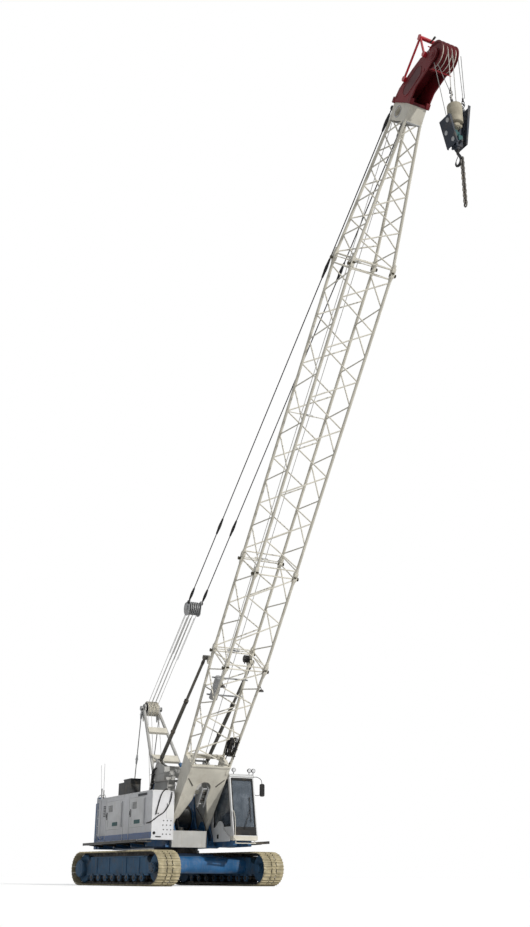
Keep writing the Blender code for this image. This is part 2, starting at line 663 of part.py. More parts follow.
def cab_side(rear, low, high, inset):
    """Return a cab side outline with its leaning front edge."""
    return [(rear, low), (lean(low, inset), low), (lean(high, inset), high), (rear, high)]


def build_cab(upper, finishes):
    """The cab's panels, glass, door, seat and console."""
    white, glass = finishes["white_paint"], finishes["glass"]
    right, left = CAB_RIGHT_Y, CAB_LEFT_Y
    low, high = CAB_FLOOR_TOP + SEAT, CAB_ROOF_BOTTOM - SEAT
    wall = CAB_WALL
    floor = [box((CAB_REAR_X, CAB_FRONT_X), (right, left), (CAB_FLOOR_BOTTOM, CAB_FLOOR_TOP))]
    piece("cab_floor", upper, finishes["cream_paint"], floor)
    front_sill, front_head = 1.66, CAB_ROOF_BOTTOM - 0.09
    face = [(lean(low, wall), low), (lean(low), low), (lean(high), high), (lean(high, wall), high)]
    window = [(lean(front_sill, 0.2), front_sill), (lean(front_sill, -0.1), front_sill),
              (lean(front_head, -0.1), front_head), (lean(front_head, 0.2), front_head)]
    sill, head = front_sill + SEAT, front_head - SEAT
    pane = [(lean(sill, 0.02 + GLASS), sill), (lean(sill, 0.02), sill),
            (lean(head, 0.02), head), (lean(head, 0.02 + GLASS), head)]
    side_frame = 0.055
    piece("cab_front", upper, white, [prism(face, right, left)],
          [prism(window, right + side_frame, left - side_frame)])
    piece("glass_front", upper, glass,
          [prism(pane, right + side_frame + SEAT, left - side_frame - SEAT)])
    side_rear = CAB_REAR_X + wall + SEAT
    side = cab_side(side_rear, low, high, wall + SEAT)
    opening = cab_side(side_rear + 0.08, low + 0.28, high - 0.09, wall + 0.06)
    pane = cab_side(side_rear + 0.08 + SEAT, low + 0.28 + SEAT, high - 0.09 - SEAT, wall + 0.06 + SEAT)
    piece("cab_right", upper, white, [prism(side, right, right + wall)], [prism(opening, right - 0.1, right + 0.1)])
    piece("glass_right", upper, glass, [prism(pane, right + 0.02, right + 0.02 + GLASS)])
    doorway = cab_side(DOOR_POST_X, low + 0.05, high - 0.05, wall + 0.05)
    left_solids = [prism(side, left - wall, left)]
    door_hinge(left_solids, DOOR_POST_X - 0.03, (left - 0.01, left + 0.04), low + 0.25, high - 0.25, SEAT)
    piece("cab_left", upper, white, left_solids, [prism(doorway, left - 0.2, left + 0.02)])
    rear = [box((CAB_REAR_X, CAB_REAR_X + wall), (right, left), (low, high))]
    piece("cab_rear", upper, white, rear, [box((CAB_REAR_X - 0.1, CAB_REAR_X + 0.1), (right + 0.1, left - 0.1),
                                               (2.2, high - 0.1))])
    piece("glass_rear", upper, glass, [box((CAB_REAR_X + 0.015, CAB_REAR_X + 0.015 + GLASS),
                                           (right + 0.1 + SEAT, left - 0.1 - SEAT),
                                           (2.2 + SEAT, high - 0.1 - SEAT))])
    roof_front = lean(CAB_ROOF_BOTTOM) + 0.04
    roof = [(CAB_REAR_X, CAB_ROOF_BOTTOM), (roof_front, CAB_ROOF_BOTTOM), (roof_front, CAB_ROOF_BOTTOM + 0.03),
            (roof_front - 0.08, CAB_ROOF_TOP), (CAB_REAR_X + 0.05, CAB_ROOF_TOP), (CAB_REAR_X, CAB_ROOF_BOTTOM + 0.04)]
    piece("cab_roof", upper, white, [prism(roof, right, left)])
    build_cab_door(upper, finishes, low, high)
    build_cab_inside(upper, finishes)


def build_cab_door(upper, finishes, low, high):
    """The cab's door with its pane, hinged at its rear edge outside the wall."""
    axis_x, axis_y = DOOR_POST_X, CAB_LEFT_Y + HINGE_RADIUS + HINGE_STAND
    axis = holder("cab_door_axis", upper, (axis_x, axis_y, 0))
    gap = RUNNING
    outer = -HINGE_RADIUS - HINGE_STAND
    outline = cab_side(axis_x + gap, low + 0.05 + gap, high - 0.05 - gap, CAB_WALL + 0.05 + gap)
    window = cab_side(axis_x + 0.08, low + 0.45, high - 0.14, CAB_WALL + 0.13)
    pane = cab_side(axis_x + 0.08 + SEAT, low + 0.45 + SEAT, high - 0.14 - SEAT, CAB_WALL + 0.13 + SEAT)
    def local(points):
        return [(x - axis_x, z) for x, z in points]
    solids = [prism(local(outline), outer - CAB_WALL, outer),
              prism(hinge_strap(1, 1), low + 0.30, high - 0.30, "Z"),
              rod((0, 0, low + 0.25), (0, 0, high - 0.25), HINGE_RADIUS, 12)]
    piece("cab_door", axis, finishes["white_paint"], solids, [prism(local(window), outer - 0.2, outer + 0.2)])
    piece("glass_door", axis, finishes["glass"], [prism(local(pane), outer - 0.02 - GLASS, outer - 0.02)])


def build_cab_inside(upper, finishes):
    """The driver's seat and the lever console before it."""
    middle = (CAB_RIGHT_Y + CAB_LEFT_Y) / 2
    base = CAB_FLOOR_TOP + SEAT
    seat = [box((1.42, 1.82), (middle - 0.16, middle + 0.16), (base, base + 0.32)),
            box((1.38, 1.90), (middle - 0.25, middle + 0.25), (base + 0.30, base + 0.45)),
            prism([(1.36, base + 0.40), (1.48, base + 0.40), (1.40, base + 1.12), (1.30, base + 1.12)],
                  middle - 0.23, middle + 0.23)]
    piece("seat", upper, finishes["fabric"], seat)
    console = [box((2.14, 2.30), (middle - 0.22, middle + 0.22), (base, base + 0.50))]
    for dy in (-0.14, 0.14):
        console.append(rod((2.20, middle + dy, base + 0.45), (2.12, middle + dy, base + 0.78), 0.014, 8))
    piece("console", upper, finishes["black_paint"], console)


def build_tower(upper, finishes):
    """The uprights that carry the backstops' feet, tied by a plate behind the boom."""
    ear_in = BACKSTOP_Y - BACKSTOP_EYE_HALF - RUNNING
    ear_out = BACKSTOP_Y + BACKSTOP_EYE_HALF + RUNNING
    low = TOWER_FOOT_Z + SEAT
    outline = [(TOWER_REAR_X, low), (TOWER_FOOT_FRONT_X, low), (TOWER_FRONT_X, TOWER_KNEE_Z),
               (TOWER_FRONT_X, TOWER_TOP - 0.1), (BACKSTOP_FOOT_X + 0.25, TOWER_TOP)]
    outline += circle(0.09, 6, (BACKSTOP_FOOT_X, BACKSTOP_FOOT_Z), 0, 180)
    outline += [(BACKSTOP_FOOT_X - 0.17, TOWER_TOP), TOWER_SHOULDER]
    inner_y = EAR_OUTER_Y + WEB_THICKNESS + SEAT
    outer_y = ear_out + TOWER_OUTER_PLATE
    shelf = (TOWER_KNEE_Z + 0.03, TOWER_KNEE_Z + 0.09)
    solids = []
    for _, sign in mirror_sides():
        solids.append(prism(outline, *span_y(sign, inner_y, ear_in)))
        solids.append(prism(outline[2:], *span_y(sign, ear_out, outer_y)))
        solids.append(rod((BACKSTOP_FOOT_X, sign * (inner_y + 0.01), BACKSTOP_FOOT_Z),
                          (BACKSTOP_FOOT_X, sign * (outer_y + 0.01), BACKSTOP_FOOT_Z),
                          BACKSTOP_PIN_RADIUS, PIN_SIDES))
        solids.append(box((TOWER_SHOULDER[0] + 0.06, TOWER_FRONT_X - 0.05),
                          span_y(sign, ear_in - 0.01, ear_out + 0.01), shelf))
    solids.append(cross_rod(TOWER_SHOULDER[0] + 0.08, TOWER_SHOULDER[1] - 0.04, ear_in - 0.01, 0.04, 12))
    solids.append(box(TOWER_PLATE_X, (0.01 - ear_in, ear_in - 0.01), TOWER_PLATE_Z))
    gate = box((TOWER_PLATE_X[0] - 0.1, TOWER_PLATE_X[1] + 0.1), (-TOWER_GATE_HALF, TOWER_GATE_HALF),
               (TOWER_PLATE_Z[0] - 0.1, TOWER_GATE_TOP))
    piece("backstop_tower", upper, finishes["grey_steel"], solids, [gate])


def build_gantry(upper, finishes):
    """The A-frame behind the boom, its rear ties and the luffing sheaves with their falls."""
    head = Vector((GANTRY_HEAD_X, 0, GANTRY_HEAD_Z))
    plate_y = FALL_COUNT * FALL_PITCH / 2 + 0.035
    foot_y = EAR_OUTER_Y - SEAT - 0.06
    solids = []
    for _, sign in mirror_sides():
        top = head + Vector((0.02, sign * (plate_y + 0.03), -0.05))
        foot = Vector((GANTRY_FOOT_X, sign * foot_y, GANTRY_FOOT_Z))
        solids.append(rod(top, foot, GANTRY_POST_RADIUS, POST_SIDES))
        solids.append(rod(foot + Vector((0, -0.06, 0)), foot + Vector((0, 0.06, 0)), 0.11, POST_SIDES))
        cheek = circle(0.16, 7, (GANTRY_HEAD_X, GANTRY_HEAD_Z), -60, 240) + [(GANTRY_HEAD_X - 0.05, 5.35)]
        solids.append(prism(cheek, *span_y(sign, plate_y, plate_y + 0.045)))
    for share in (0.30, 0.66):
        x = GANTRY_HEAD_X + (GANTRY_FOOT_X - GANTRY_HEAD_X) * share
        z = GANTRY_HEAD_Z + (GANTRY_FOOT_Z - GANTRY_HEAD_Z) * share
        half = plate_y + 0.03 + (foot_y - plate_y - 0.03) * share
        solids.append(cross_rod(x, z, half, 0.045, POST_SIDES))
    solids.append(cross_rod(GANTRY_HEAD_X, GANTRY_HEAD_Z, plate_y + 0.14, GANTRY_PIN_RADIUS, PIN_SIDES))
    piece("gantry_frame", upper, finishes["grey_steel"], solids)
    ties = []
    tie_top = plate_y + 0.09 + SEAT + 0.02
    for _, sign in mirror_sides():
        start = Vector((GANTRY_HEAD_X, sign * tie_top, GANTRY_HEAD_Z))
        ties.append(rod(start, (TIE_FOOT_X, sign * TIE_Y, TIE_FOOT_Z), 0.018, 8))
        ties.append(rod(start - Vector((0, 0.02, 0)), start + Vector((0, 0.02, 0)), 0.075, 12))
    foot_bores = rod((TIE_FOOT_X, -TIE_Y - 0.03, TIE_FOOT_Z), (TIE_FOOT_X, TIE_Y + 0.03, TIE_FOOT_Z), 0.07, 12)
    pins = [cross_rod(x, z, 1.0, GANTRY_PIN_RADIUS + 2 * SEAT, PIN_SIDES)
            for x, z in ((TIE_FOOT_X, TIE_FOOT_Z), (GANTRY_HEAD_X, GANTRY_HEAD_Z))]
    piece("gantry_ties", upper, finishes["rope_steel"], ties + [foot_bores], pins)


def grooved(count, pitch, radius, depth, pin_radius, sides):
    """Return the closed turned profile of sheaves side by side, bored for their pin."""
    half = count * pitch / 2
    bore = bore_radius(pin_radius, sides)
    profile = [(-half, bore), (-half, radius)]
    for i in range(count):
        y = (i - (count - 1) / 2) * pitch
        profile += [(y, radius - depth), (y + pitch / 2, radius)]
    return profile + [(half, bore)]


def build_falls(upper, stays, stay_length, stay_angle, finishes):
    """The luffing sheaves' rope parts, in two combs that pass between each other."""
    axis = holder("luffing_axis", upper, (GANTRY_HEAD_X, 0, GANTRY_HEAD_Z), -stay_angle)
    profile = grooved(FALL_COUNT, FALL_PITCH, GANTRY_SHEAVE_RADIUS, 0.04, GANTRY_PIN_RADIUS, PIN_SIDES)
    cluster = [turned(profile, sides=PIN_SIDES, closed=True, phase=stay_angle + 180 / PIN_SIDES)]
    reach = FALLS_LENGTH - BRIDLE_RADIUS - 0.01
    for i in range(FALL_COUNT):
        y = (i - (FALL_COUNT - 1) / 2) * FALL_PITCH
        z = FALL_OFFSET if i % 2 else -FALL_OFFSET
        cluster.append(rod((0.02, y, z), (reach, y, z), FALL_RADIUS, 4))
    piece("gantry_sheaves", axis, finishes["grey_steel"], cluster)
    count = FALL_COUNT - 1
    centre = FALLS_LENGTH - stay_length
    discs = []
    for i in range(count):
        y = (i - (count - 1) / 2) * FALL_PITCH
        discs.append(rod((centre, y - 0.011, 0), (centre, y + 0.011, 0), BRIDLE_DISC_RADIUS, 8))
        z = FALL_OFFSET if i % 2 else -FALL_OFFSET
        discs.append(rod((centre + 0.03, y, z), (centre - BRIDLE_FALLS_LENGTH, y, z), FALL_RADIUS, 4))
    for _, sign in mirror_sides():
        plate_y = FALL_COUNT * FALL_PITCH / 2
        cheek = circle(BRIDLE_RADIUS, 10, (centre, 0), 90, 180) + circle(0.08, 4, (centre + 0.24, 0), -90, 180)
        discs.append(prism(cheek, *span_y(sign, plate_y, plate_y + BRIDLE_CHEEK)))
        discs.append(rod((centre, sign * (plate_y + 0.005), 0), (centre, sign * (plate_y + BRIDLE_CHEEK + 0.02), 0),
                         0.06, 8))
    guard_z = FALL_OFFSET + FALL_RADIUS + RUNNING + BRIDLE_GUARD_RADIUS
    discs.append(cross_rod(centre, guard_z, FALL_COUNT * FALL_PITCH / 2 + 0.01, BRIDLE_GUARD_RADIUS, 8))
    piece("bridle", stays, finishes["grey_steel"], discs)


def build_pendants(stays, stay_length, finishes):
    """The two pendant lines from the boom's tip to the bridle."""
    bridle_eye = FALLS_LENGTH - stay_length + 0.24
    eye_inner = FALL_COUNT * FALL_PITCH / 2 + BRIDLE_CHEEK + SEAT
    for side, sign in mirror_sides():
        y = sign * (eye_inner + PENDANT_EYE_WIDTH / 2)
        solids = [rod((0, y, 0), (bridle_eye, y, 0), PENDANT_RADIUS, 6)]
        for x in (0.0, bridle_eye):
            solids.append(rod((x, sign * eye_inner, 0), (x, sign * (eye_inner + PENDANT_EYE_WIDTH), 0), 0.06, 8))
        ends = [(-0.42, 0.24), (bridle_eye + 0.36, 0.24)] + [(-distance, 0.30) for distance in PENDANT_JOINTS]
        for x, half in ends:
            solids.append(rod((x - half, y, 0), (x, y, 0), 0.022, 8, 0.045))
            solids.append(rod((x, y, 0), (x + half, y, 0), 0.045, 8, 0.022))
        piece(f"pendant_{side}", stays, finishes["black_paint"], solids)


def corner_points(s, half_width, half_depth, middle=0.0):
    """Return the four chord centres at one place along the boom."""
    return [Vector((s, y * half_width, middle + z * half_depth))
            for y, z in ((-1, -1), (1, -1), (1, 1), (-1, 1))]


def lattice(start, end, bays, start_knuckle=True, end_knuckle=True):
    """Return the solids of a boom section between two (s, half width, half depth) ends."""
    first, last = corner_points(*start), corner_points(*end)
    inset = 0.03 / (last[0] - first[0]).length
    solids = [rod(a.lerp(b, inset), b.lerp(a, inset), CHORD_RADIUS, CHORD_SIDES) for a, b in zip(first, last)]
    for corner in range(4):
        near, far = corner, (corner + 1) % 4
        for bay in range(bays):
            low = 0.03 + 0.94 * bay / bays
            high = 0.03 + 0.94 * (bay + 1) / bays
            if bay % 2 == 0:
                low, high = high, low
            solids.append(rod(first[near].lerp(last[near], low), first[far].lerp(last[far], high),
                              LACING_RADIUS, LACING_SIDES))
        for share in (0.02, 0.98):
            solids.append(rod(first[near].lerp(last[near], share), first[far].lerp(last[far], share),
                              LACING_RADIUS * 1.2, LACING_SIDES))
    for wanted, corners, sign in ((start_knuckle, first, 1), (end_knuckle, last, -1)):
        if not wanted:
            continue
        for centre in corners:
            reach = 0.13 * sign
            x = sorted((centre.x, centre.x + reach))
            solids.append(box(x, (centre.y - 0.052, centre.y + 0.052), (centre.z - 0.06, centre.z + 0.06)))
            if sign > 0:
                continue
            outward = 1 if centre.y > 0 else -1
            solids.append(rod((centre.x + reach / 2, centre.y, centre.z),
                              (centre.x + reach / 2, centre.y + outward * 0.085, centre.z), 0.03, 6))
    return solids


def base_depth(s):
    """Return the base section's half depth, a wedge from the foot to the first joint."""
    return FOOT_EYE_RADIUS + (CHORD_HALF_DEPTH - FOOT_EYE_RADIUS) * s / JOINT_1_S


def build_boom_base(boom, finishes):
    """The foot section: two plate legs, an arched front plate and tapering lattice."""
    solids = []
    plate_depth = base_depth(BASE_PLATE_S)
    leg = circle(FOOT_EYE_RADIUS, 5, (0, 0), 100, 160)
    leg += [(BASE_PLATE_S, -plate_depth - 0.03), (BASE_PLATE_S, plate_depth + 0.03)]
    for _, sign in mirror_sides():
        solids.append(prism(leg, *span_y(sign, LEG_INNER_Y, LEG_OUTER_Y)))
    sill = 0.40
    front = [(sill, -base_depth(sill)), (BASE_PLATE_S, -plate_depth - 0.03),
             (BASE_PLATE_S, -plate_depth + 0.03), (sill, -base_depth(sill) + 0.05)]
    solids.append(prism(front, -LEG_OUTER_Y, LEG_OUTER_Y))
    solids.append(cross_rod(1.15, base_depth(1.15) - 0.06, LEG_INNER_Y + 0.02, 0.06, 12))
    solids.append(box((BASE_PLATE_S - 0.12, BASE_PLATE_S), (-LEG_OUTER_Y, LEG_OUTER_Y),
                      (plate_depth - 0.05, plate_depth + 0.03)))
    end_s = JOINT_1_S - SEAT / 2
    solids += lattice((BASE_PLATE_S - 0.10, CHORD_HALF_WIDTH - 0.005, plate_depth - 0.03),
                      (end_s, CHORD_HALF_WIDTH, CHORD_HALF_DEPTH), BASE_BAYS, start_knuckle=False)
    for _, sign in mirror_sides():
        lug = circle(0.075, 4, (BACKSTOP_EYE_S, BACKSTOP_EYE_Z), -20, 220)
        lug += [(BACKSTOP_EYE_S - 0.14, CHORD_HALF_DEPTH - 0.03), (BACKSTOP_EYE_S + 0.14, CHORD_HALF_DEPTH - 0.03)]
        solids.append(prism(lug, *span_y(sign, CHORD_HALF_WIDTH - 0.02, BACKSTOP_Y - 0.06 - RUNNING)))
    arch = [(0.0, 0.50), (0.42, 0.50), (1.15, 0.24)] + circle(0.24, 8, (1.56, 0.0), 90, -180)
    arch += [(1.15, -0.24), (0.42, -0.50), (0.0, -0.50)]
    cuts = [prism(arch, -0.60, 0.05, "Z"),
            cross_rod(0, 0, 1.0, bore_radius(FOOT_PIN_RADIUS), PIN_SIDES)]
    piece("boom_base", boom, finishes["cream_paint"], solids, cuts)


def build_boom(boom, finishes):
    """The boom's sections from foot to tip."""
    cream = finishes["cream_paint"]
    build_boom_base(boom, finishes)
    full = (CHORD_HALF_WIDTH, CHORD_HALF_DEPTH)
    gap = SEAT / 2
    for name, low, high, bays in (("boom_insert_short", JOINT_1_S, JOINT_2_S, SHORT_BAYS),
                                  ("boom_insert_long", JOINT_2_S, JOINT_3_S, LONG_BAYS)):
        piece(name, boom, cream, lattice((low + gap, *full), (high - gap, *full), bays))
    tip_middle, tip_half = (TIP_REAR + TIP_FRONT) / 2, (TIP_REAR - TIP_FRONT) / 2
    inside = CHORD_RADIUS + 0.005
    top = lattice((JOINT_3_S + gap, *full), (TIP_BOX_S + 0.2, TIP_HALF_WIDTH - inside, tip_half - inside, tip_middle),
                  TOP_BAYS, end_knuckle=False)
    tip_end = HEAD_S - SEAT
    top.append(box((TIP_BOX_S, tip_end), (-TIP_HALF_WIDTH, TIP_HALF_WIDTH), (TIP_FRONT, TIP_REAR)))
    eye = (HEAD_S - TIP_ANCHOR_BACK, TIP_REAR + TIP_ANCHOR_RISE)
    lug = circle(0.07, 4, eye, 0, 180) + [(eye[0] - 0.10, TIP_REAR - 0.02), (eye[0] + 0.10, TIP_REAR - 0.02)]
    lug_outer = FALL_COUNT * FALL_PITCH / 2 + BRIDLE_CHEEK
    for _, sign in mirror_sides():
        top.append(prism(lug, *span_y(sign, lug_outer - 0.03, lug_outer)))
    middle_s = (TIP_BOX_S + tip_end) / 2
    window = rod((middle_s, -1, TIP_REAR - 0.36), (middle_s, 1, TIP_REAR - 0.36), 0.13, 16)
    piece("boom_top", boom, cream, top, [window])


def head_outline():
    """Return the head plates' outline: a neck that bends forward to the sheaves' axis."""
    axis = (HEAD_AXIS_S, -HEAD_AXIS_N)
    front = [(HEAD_S, TIP_FRONT), (HEAD_S + 0.42, TIP_FRONT - 0.08)]
    back = [(HEAD_S + 1.15, -0.16), (HEAD_S + 0.88, 0.08), (HEAD_S + 0.64, 0.27),
            (HEAD_S + 0.36, TIP_REAR - 0.11), (HEAD_S, TIP_REAR)]
    return front + circle(HEAD_EAR_RADIUS, 8, axis, -120, 190) + back


def build_head(boom, finishes):
    """The red head: two plates, their decks, the sheaves and the strut frame behind."""
    red = finishes["red_paint"]
    axis = (HEAD_AXIS_S, -HEAD_AXIS_N)
    plate_y = SHEAVE_COUNT * SHEAVE_PITCH / 2 + RUNNING
    side = head_outline()
    inside = plate_y + 0.01
    solids = [prism(side, *span_y(sign, plate_y, plate_y + HEAD_PLATE)) for _, sign in mirror_sides()]
    solids.append(box((HEAD_S, HEAD_S + 0.06), (-inside, inside), (TIP_FRONT, TIP_REAR)))
    back = side[-5:]
    inner = [(s - HEAD_DECK / 2, z - HEAD_DECK) for s, z in back[:-1]] + [(HEAD_S, TIP_REAR - HEAD_DECK)]
    solids.append(prism(back + inner[::-1], -inside, inside))
    solids.append(cross_rod(*axis, plate_y + HEAD_PLATE + 0.03, HEAD_PIN_RADIUS, PIN_SIDES))
    piece("boom_head", boom, red, solids)
    cluster = holder("head_sheave_axis", boom, (axis[0], 0, axis[1]), BOOM_ANGLE)
    sides = 2 * PIN_SIDES
    profile = grooved(SHEAVE_COUNT, SHEAVE_PITCH, SHEAVE_RADIUS, SHEAVE_GROOVE, HEAD_PIN_RADIUS, sides)
    piece("head_sheaves", cluster, red, [turned(profile, sides=sides, closed=True)])
    build_head_strut(boom, red, plate_y)


def build_head_strut(boom, red, plate_y):
    """The light frame that stands behind the head, its feet on lugs outside the plates."""
    y = plate_y + HEAD_PLATE + SEAT + STRUT_EYE_HALF
    apex = Vector((STRUT_APEX[0], 0, STRUT_APEX[1]))
    solids = [cross_rod(apex.x, apex.z, y + 0.04, 0.05, 8)]
    for _, sign in mirror_sides():
        for s, z in ((STRUT_REAR_S, STRUT_REAR_Z), (STRUT_FRONT_S, STRUT_FRONT_Z)):
            foot = Vector((s, sign * y, z))
            half = Vector((0, STRUT_EYE_HALF, 0))
            solids.append(rod(foot, apex + Vector((0, sign * y, 0)), 0.032, 5))
            solids.append(rod(foot - half, foot + half, 0.075, 8))
    piece("head_strut", boom, red, solids)


def build_backstops(upper, finishes, eye):
    """The telescoping backstops: tubes on the tower, rods that slide out to the boom."""
    foot = Vector((BACKSTOP_FOOT_X, 0, BACKSTOP_FOOT_Z))
    reach = eye - foot
    angle = math.degrees(math.atan2(reach.z, reach.x))
    axis = holder("backstop_axis", upper, foot, -angle)
    bore = BACKSTOP_ROD_RADIUS + 2 * SEAT
    for side, sign in mirror_sides():
        y = sign * BACKSTOP_Y
        tube = [rod((0.10, y, 0), (BACKSTOP_TUBE_LENGTH, y, 0), BACKSTOP_TUBE_RADIUS, 12),
                rod((0, y - BACKSTOP_EYE_HALF, 0), (0, y + BACKSTOP_EYE_HALF, 0), 0.075, 16),
                box((0.02, 0.16), (y - 0.035, y + 0.035), (-0.05, 0.05))]
        hollow = [rod((0.30, y, 0), (BACKSTOP_TUBE_LENGTH + 0.1, y, 0), bore, 12),
                  rod((0, y - 0.1, 0), (0, y + 0.1, 0), bore_radius(BACKSTOP_PIN_RADIUS), PIN_SIDES,
                      phase=angle + 180 / PIN_SIDES)]
        piece(f"backstop_tube_{side}", axis, finishes["black_paint"], tube, hollow)
        end = reach.length
        bar = [rod((BACKSTOP_ROD_START, y, 0), (end - 0.06, y, 0), BACKSTOP_ROD_RADIUS, 12),
               rod((end, y - 0.06, 0), (end, y + 0.05, 0), 0.07, 12)]
        piece(f"backstop_rod_{side}", axis, finishes["dark_steel"], bar)


def build_hook(upper, finishes, head_axis):
    """The hook group that hangs plumb from the front of the head sheaves."""
    hang = holder("hook_hang_axis", upper, head_axis)
    groove_slope = math.atan2(SHEAVE_PITCH / 2, SHEAVE_GROOVE)
    x = SHEAVE_RADIUS - SHEAVE_GROOVE + (HOIST_ROPE_RADIUS + SEAT) / math.sin(groove_slope)
    top = -FALLS_DROP
    falls = [box((x - 0.04, x + 0.04), (-0.11, 0.11), (top + SEAT, top + 0.09))]
    for dy in (-SHEAVE_PITCH / 2, SHEAVE_PITCH / 2):
        falls.append(rod((x, dy, top + 0.04), (x, dy, 0.0), HOIST_ROPE_RADIUS, 6, phase=30))
    piece("hoist_falls", hang, finishes["rope_steel"], falls)
    low = top - WEIGHT_HEIGHT
    block = [turned([(0.0, WEIGHT_RADIUS - 0.03), (-0.03, WEIGHT_RADIUS), (-WEIGHT_HEIGHT, WEIGHT_RADIUS),
                     (-WEIGHT_HEIGHT - 0.02, 0.10), (-HOOK_SWIVEL_DROP - top, 0.06)],
                    (x, 0, top), (0, 0, 1), 20)]
    for side, sign in mirror_sides():
        high = top - CHEEK_TOPS[side]
        cheek = [(0.12, high - 0.22), (0.28, high), (0.35, high), (0.16, top - CHEEK_HEIGHT),
                 (0.03, top - CHEEK_HEIGHT)]
        block.append(prism([(sign * y, z) for y, z in cheek], x - CHEEK_HALF, x + CHEEK_HALF, "X"))
    piece("hook_block", hang, finishes["dark_steel"], block)
    swivel = holder("hook_swivel_axis", hang, (x, 0, 0))
    bottom = -HOOK_SWIVEL_DROP - SEAT
    inner, outer = 0.075, 0.125
    centre = (0.0, bottom - HOOK_LENGTH + outer)
    bowl = circle(outer, 12, centre, 130, 230) + circle(inner, 12, centre, 0, -230)
    hook = [prism(bowl, -0.03, 0.03),
            prism([(-0.035, bottom), (0.035, bottom), (0.125, centre[1] + 0.02), (0.075, centre[1] - 0.01),
                   (0.03, centre[1] + 0.10), (-0.035, bottom - 0.08)], -0.03, 0.03)]
    piece("hook", swivel, finishes["black_paint"], hook)
    links = []
    start = centre[1] + 0.05
    offset = outer + 0.036 + SEAT
    for i in range(int(CHAIN_LENGTH / CHAIN_PITCH)):
        z = start - i * CHAIN_PITCH
        wide = (0.014, 0.036) if i % 2 else (0.036, 0.014)
        links.append(box((offset - wide[0], offset + wide[0]), (-wide[1], wide[1]),
                         (z - CHAIN_PITCH - 0.012, z)))
    piece("chain", swivel, finishes["rope_steel"], links)


def main():
    """Build the crane from the ground up."""
    clear_scene()
    finishes = {name: make_finish(name) for name in FINISHES}
    ground = holder("ground", None, (0, 0, -GROUND_CLEARANCE))
    base = holder("undercarriage", ground, turn_z=SLEW_ANGLE)
    build_undercarriage(base, finishes)
    upper = holder("slew_axis", ground)
    build_revolving_frame(upper, finishes)
    build_front_box(upper, finishes)
    build_winches(upper, finishes)
    build_houses(upper, finishes)
    build_counterweight(upper, finishes)
    build_catwalks(upper, finishes)
    build_cab(upper, finishes)
    build_tower(upper, finishes)
    build_gantry(upper, finishes)
    boom = holder("boom_foot_axis", upper, (BOOM_FOOT_X, 0, BOOM_FOOT_Z), -BOOM_ANGLE)
    tilt = math.radians(BOOM_ANGLE)
    def on_boom(s, z):
        return Vector((BOOM_FOOT_X + s * math.cos(tilt) - z * math.sin(tilt), 0,
                       BOOM_FOOT_Z + s * math.sin(tilt) + z * math.cos(tilt)))
    build_boom(boom, finishes)
    build_head(boom, finishes)
    anchor_s, anchor_z = HEAD_S - TIP_ANCHOR_BACK, TIP_REAR + TIP_ANCHOR_RISE
    anchor = on_boom(anchor_s, anchor_z)
    reach = anchor - Vector((GANTRY_HEAD_X, 0, GANTRY_HEAD_Z))
    stay_angle = math.degrees(math.atan2(reach.z, reach.x))
    stays = holder("stay_line", boom, (anchor_s, 0, anchor_z), BOOM_ANGLE - stay_angle)
    build_falls(upper, stays, reach.length, stay_angle, finishes)
    build_pendants(stays, reach.length, finishes)
    build_backstops(upper, finishes, on_boom(BACKSTOP_EYE_S, BACKSTOP_EYE_Z))
    build_hook(upper, finishes, on_boom(HEAD_AXIS_S, -HEAD_AXIS_N))


main()
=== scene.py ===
"""Crawler crane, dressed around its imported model.

Metres in the row frame: +X the way the upper structure faces, +Y its left, +Z up.
The ground lies GROUND below the origin. Every piece rides on one body of the model.
GROUND_PLACE and UNDER_PLACE take heights above the ground, and UNDER_PLACE is turned
to the tracks. In BOOM_PLACE x runs along the boom and +z points to its rear.
"""

from __future__ import annotations

import json
import logging
import math
import random
from dataclasses import dataclass
from enum import Enum
from itertools import product

import bmesh
import bpy
from mathutils import Matrix, Vector

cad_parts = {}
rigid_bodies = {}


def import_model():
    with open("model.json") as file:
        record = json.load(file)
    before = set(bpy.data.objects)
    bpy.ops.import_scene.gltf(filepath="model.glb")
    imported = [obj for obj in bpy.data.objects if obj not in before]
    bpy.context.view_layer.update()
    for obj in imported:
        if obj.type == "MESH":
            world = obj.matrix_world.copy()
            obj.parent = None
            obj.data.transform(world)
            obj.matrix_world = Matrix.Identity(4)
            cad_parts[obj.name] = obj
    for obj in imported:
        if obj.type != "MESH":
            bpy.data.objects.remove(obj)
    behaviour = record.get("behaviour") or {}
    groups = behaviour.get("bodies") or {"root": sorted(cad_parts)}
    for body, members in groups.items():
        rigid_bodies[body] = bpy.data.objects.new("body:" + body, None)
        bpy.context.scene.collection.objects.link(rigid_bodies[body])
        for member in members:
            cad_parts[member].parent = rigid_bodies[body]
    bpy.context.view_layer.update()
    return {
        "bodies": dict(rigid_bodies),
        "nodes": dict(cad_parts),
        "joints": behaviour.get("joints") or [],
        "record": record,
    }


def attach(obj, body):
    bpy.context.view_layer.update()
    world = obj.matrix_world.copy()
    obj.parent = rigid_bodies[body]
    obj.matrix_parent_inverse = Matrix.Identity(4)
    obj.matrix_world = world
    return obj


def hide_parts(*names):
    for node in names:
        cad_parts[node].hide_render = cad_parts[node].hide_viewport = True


LOG = logging.getLogger("crane")
GROUND = -0.36
SLEW = math.radians(9.3)
BOOM_TURN = math.radians(52.27)
BOOM_FOOT = Vector((0.836, 0.0, 1.366))
GANTRY_HEAD = Vector((-2.65, 0.0, 5.44))
TIP_ANCHOR = Vector((22.28, 0.0, 0.67))
FALL_PITCH = 0.066
HEAD_AXIS = Vector((23.66, 0.0, -0.73))
HOOK_X = 16.2411
HEAD_Z = 19.632
FULL_TURN = 2 * math.pi
SIDES = (-1, 1)
UPWARD = (0, 0, 1)
FORWARD = (1, 0, 0)
SMOOTH_ANGLE = math.radians(35)
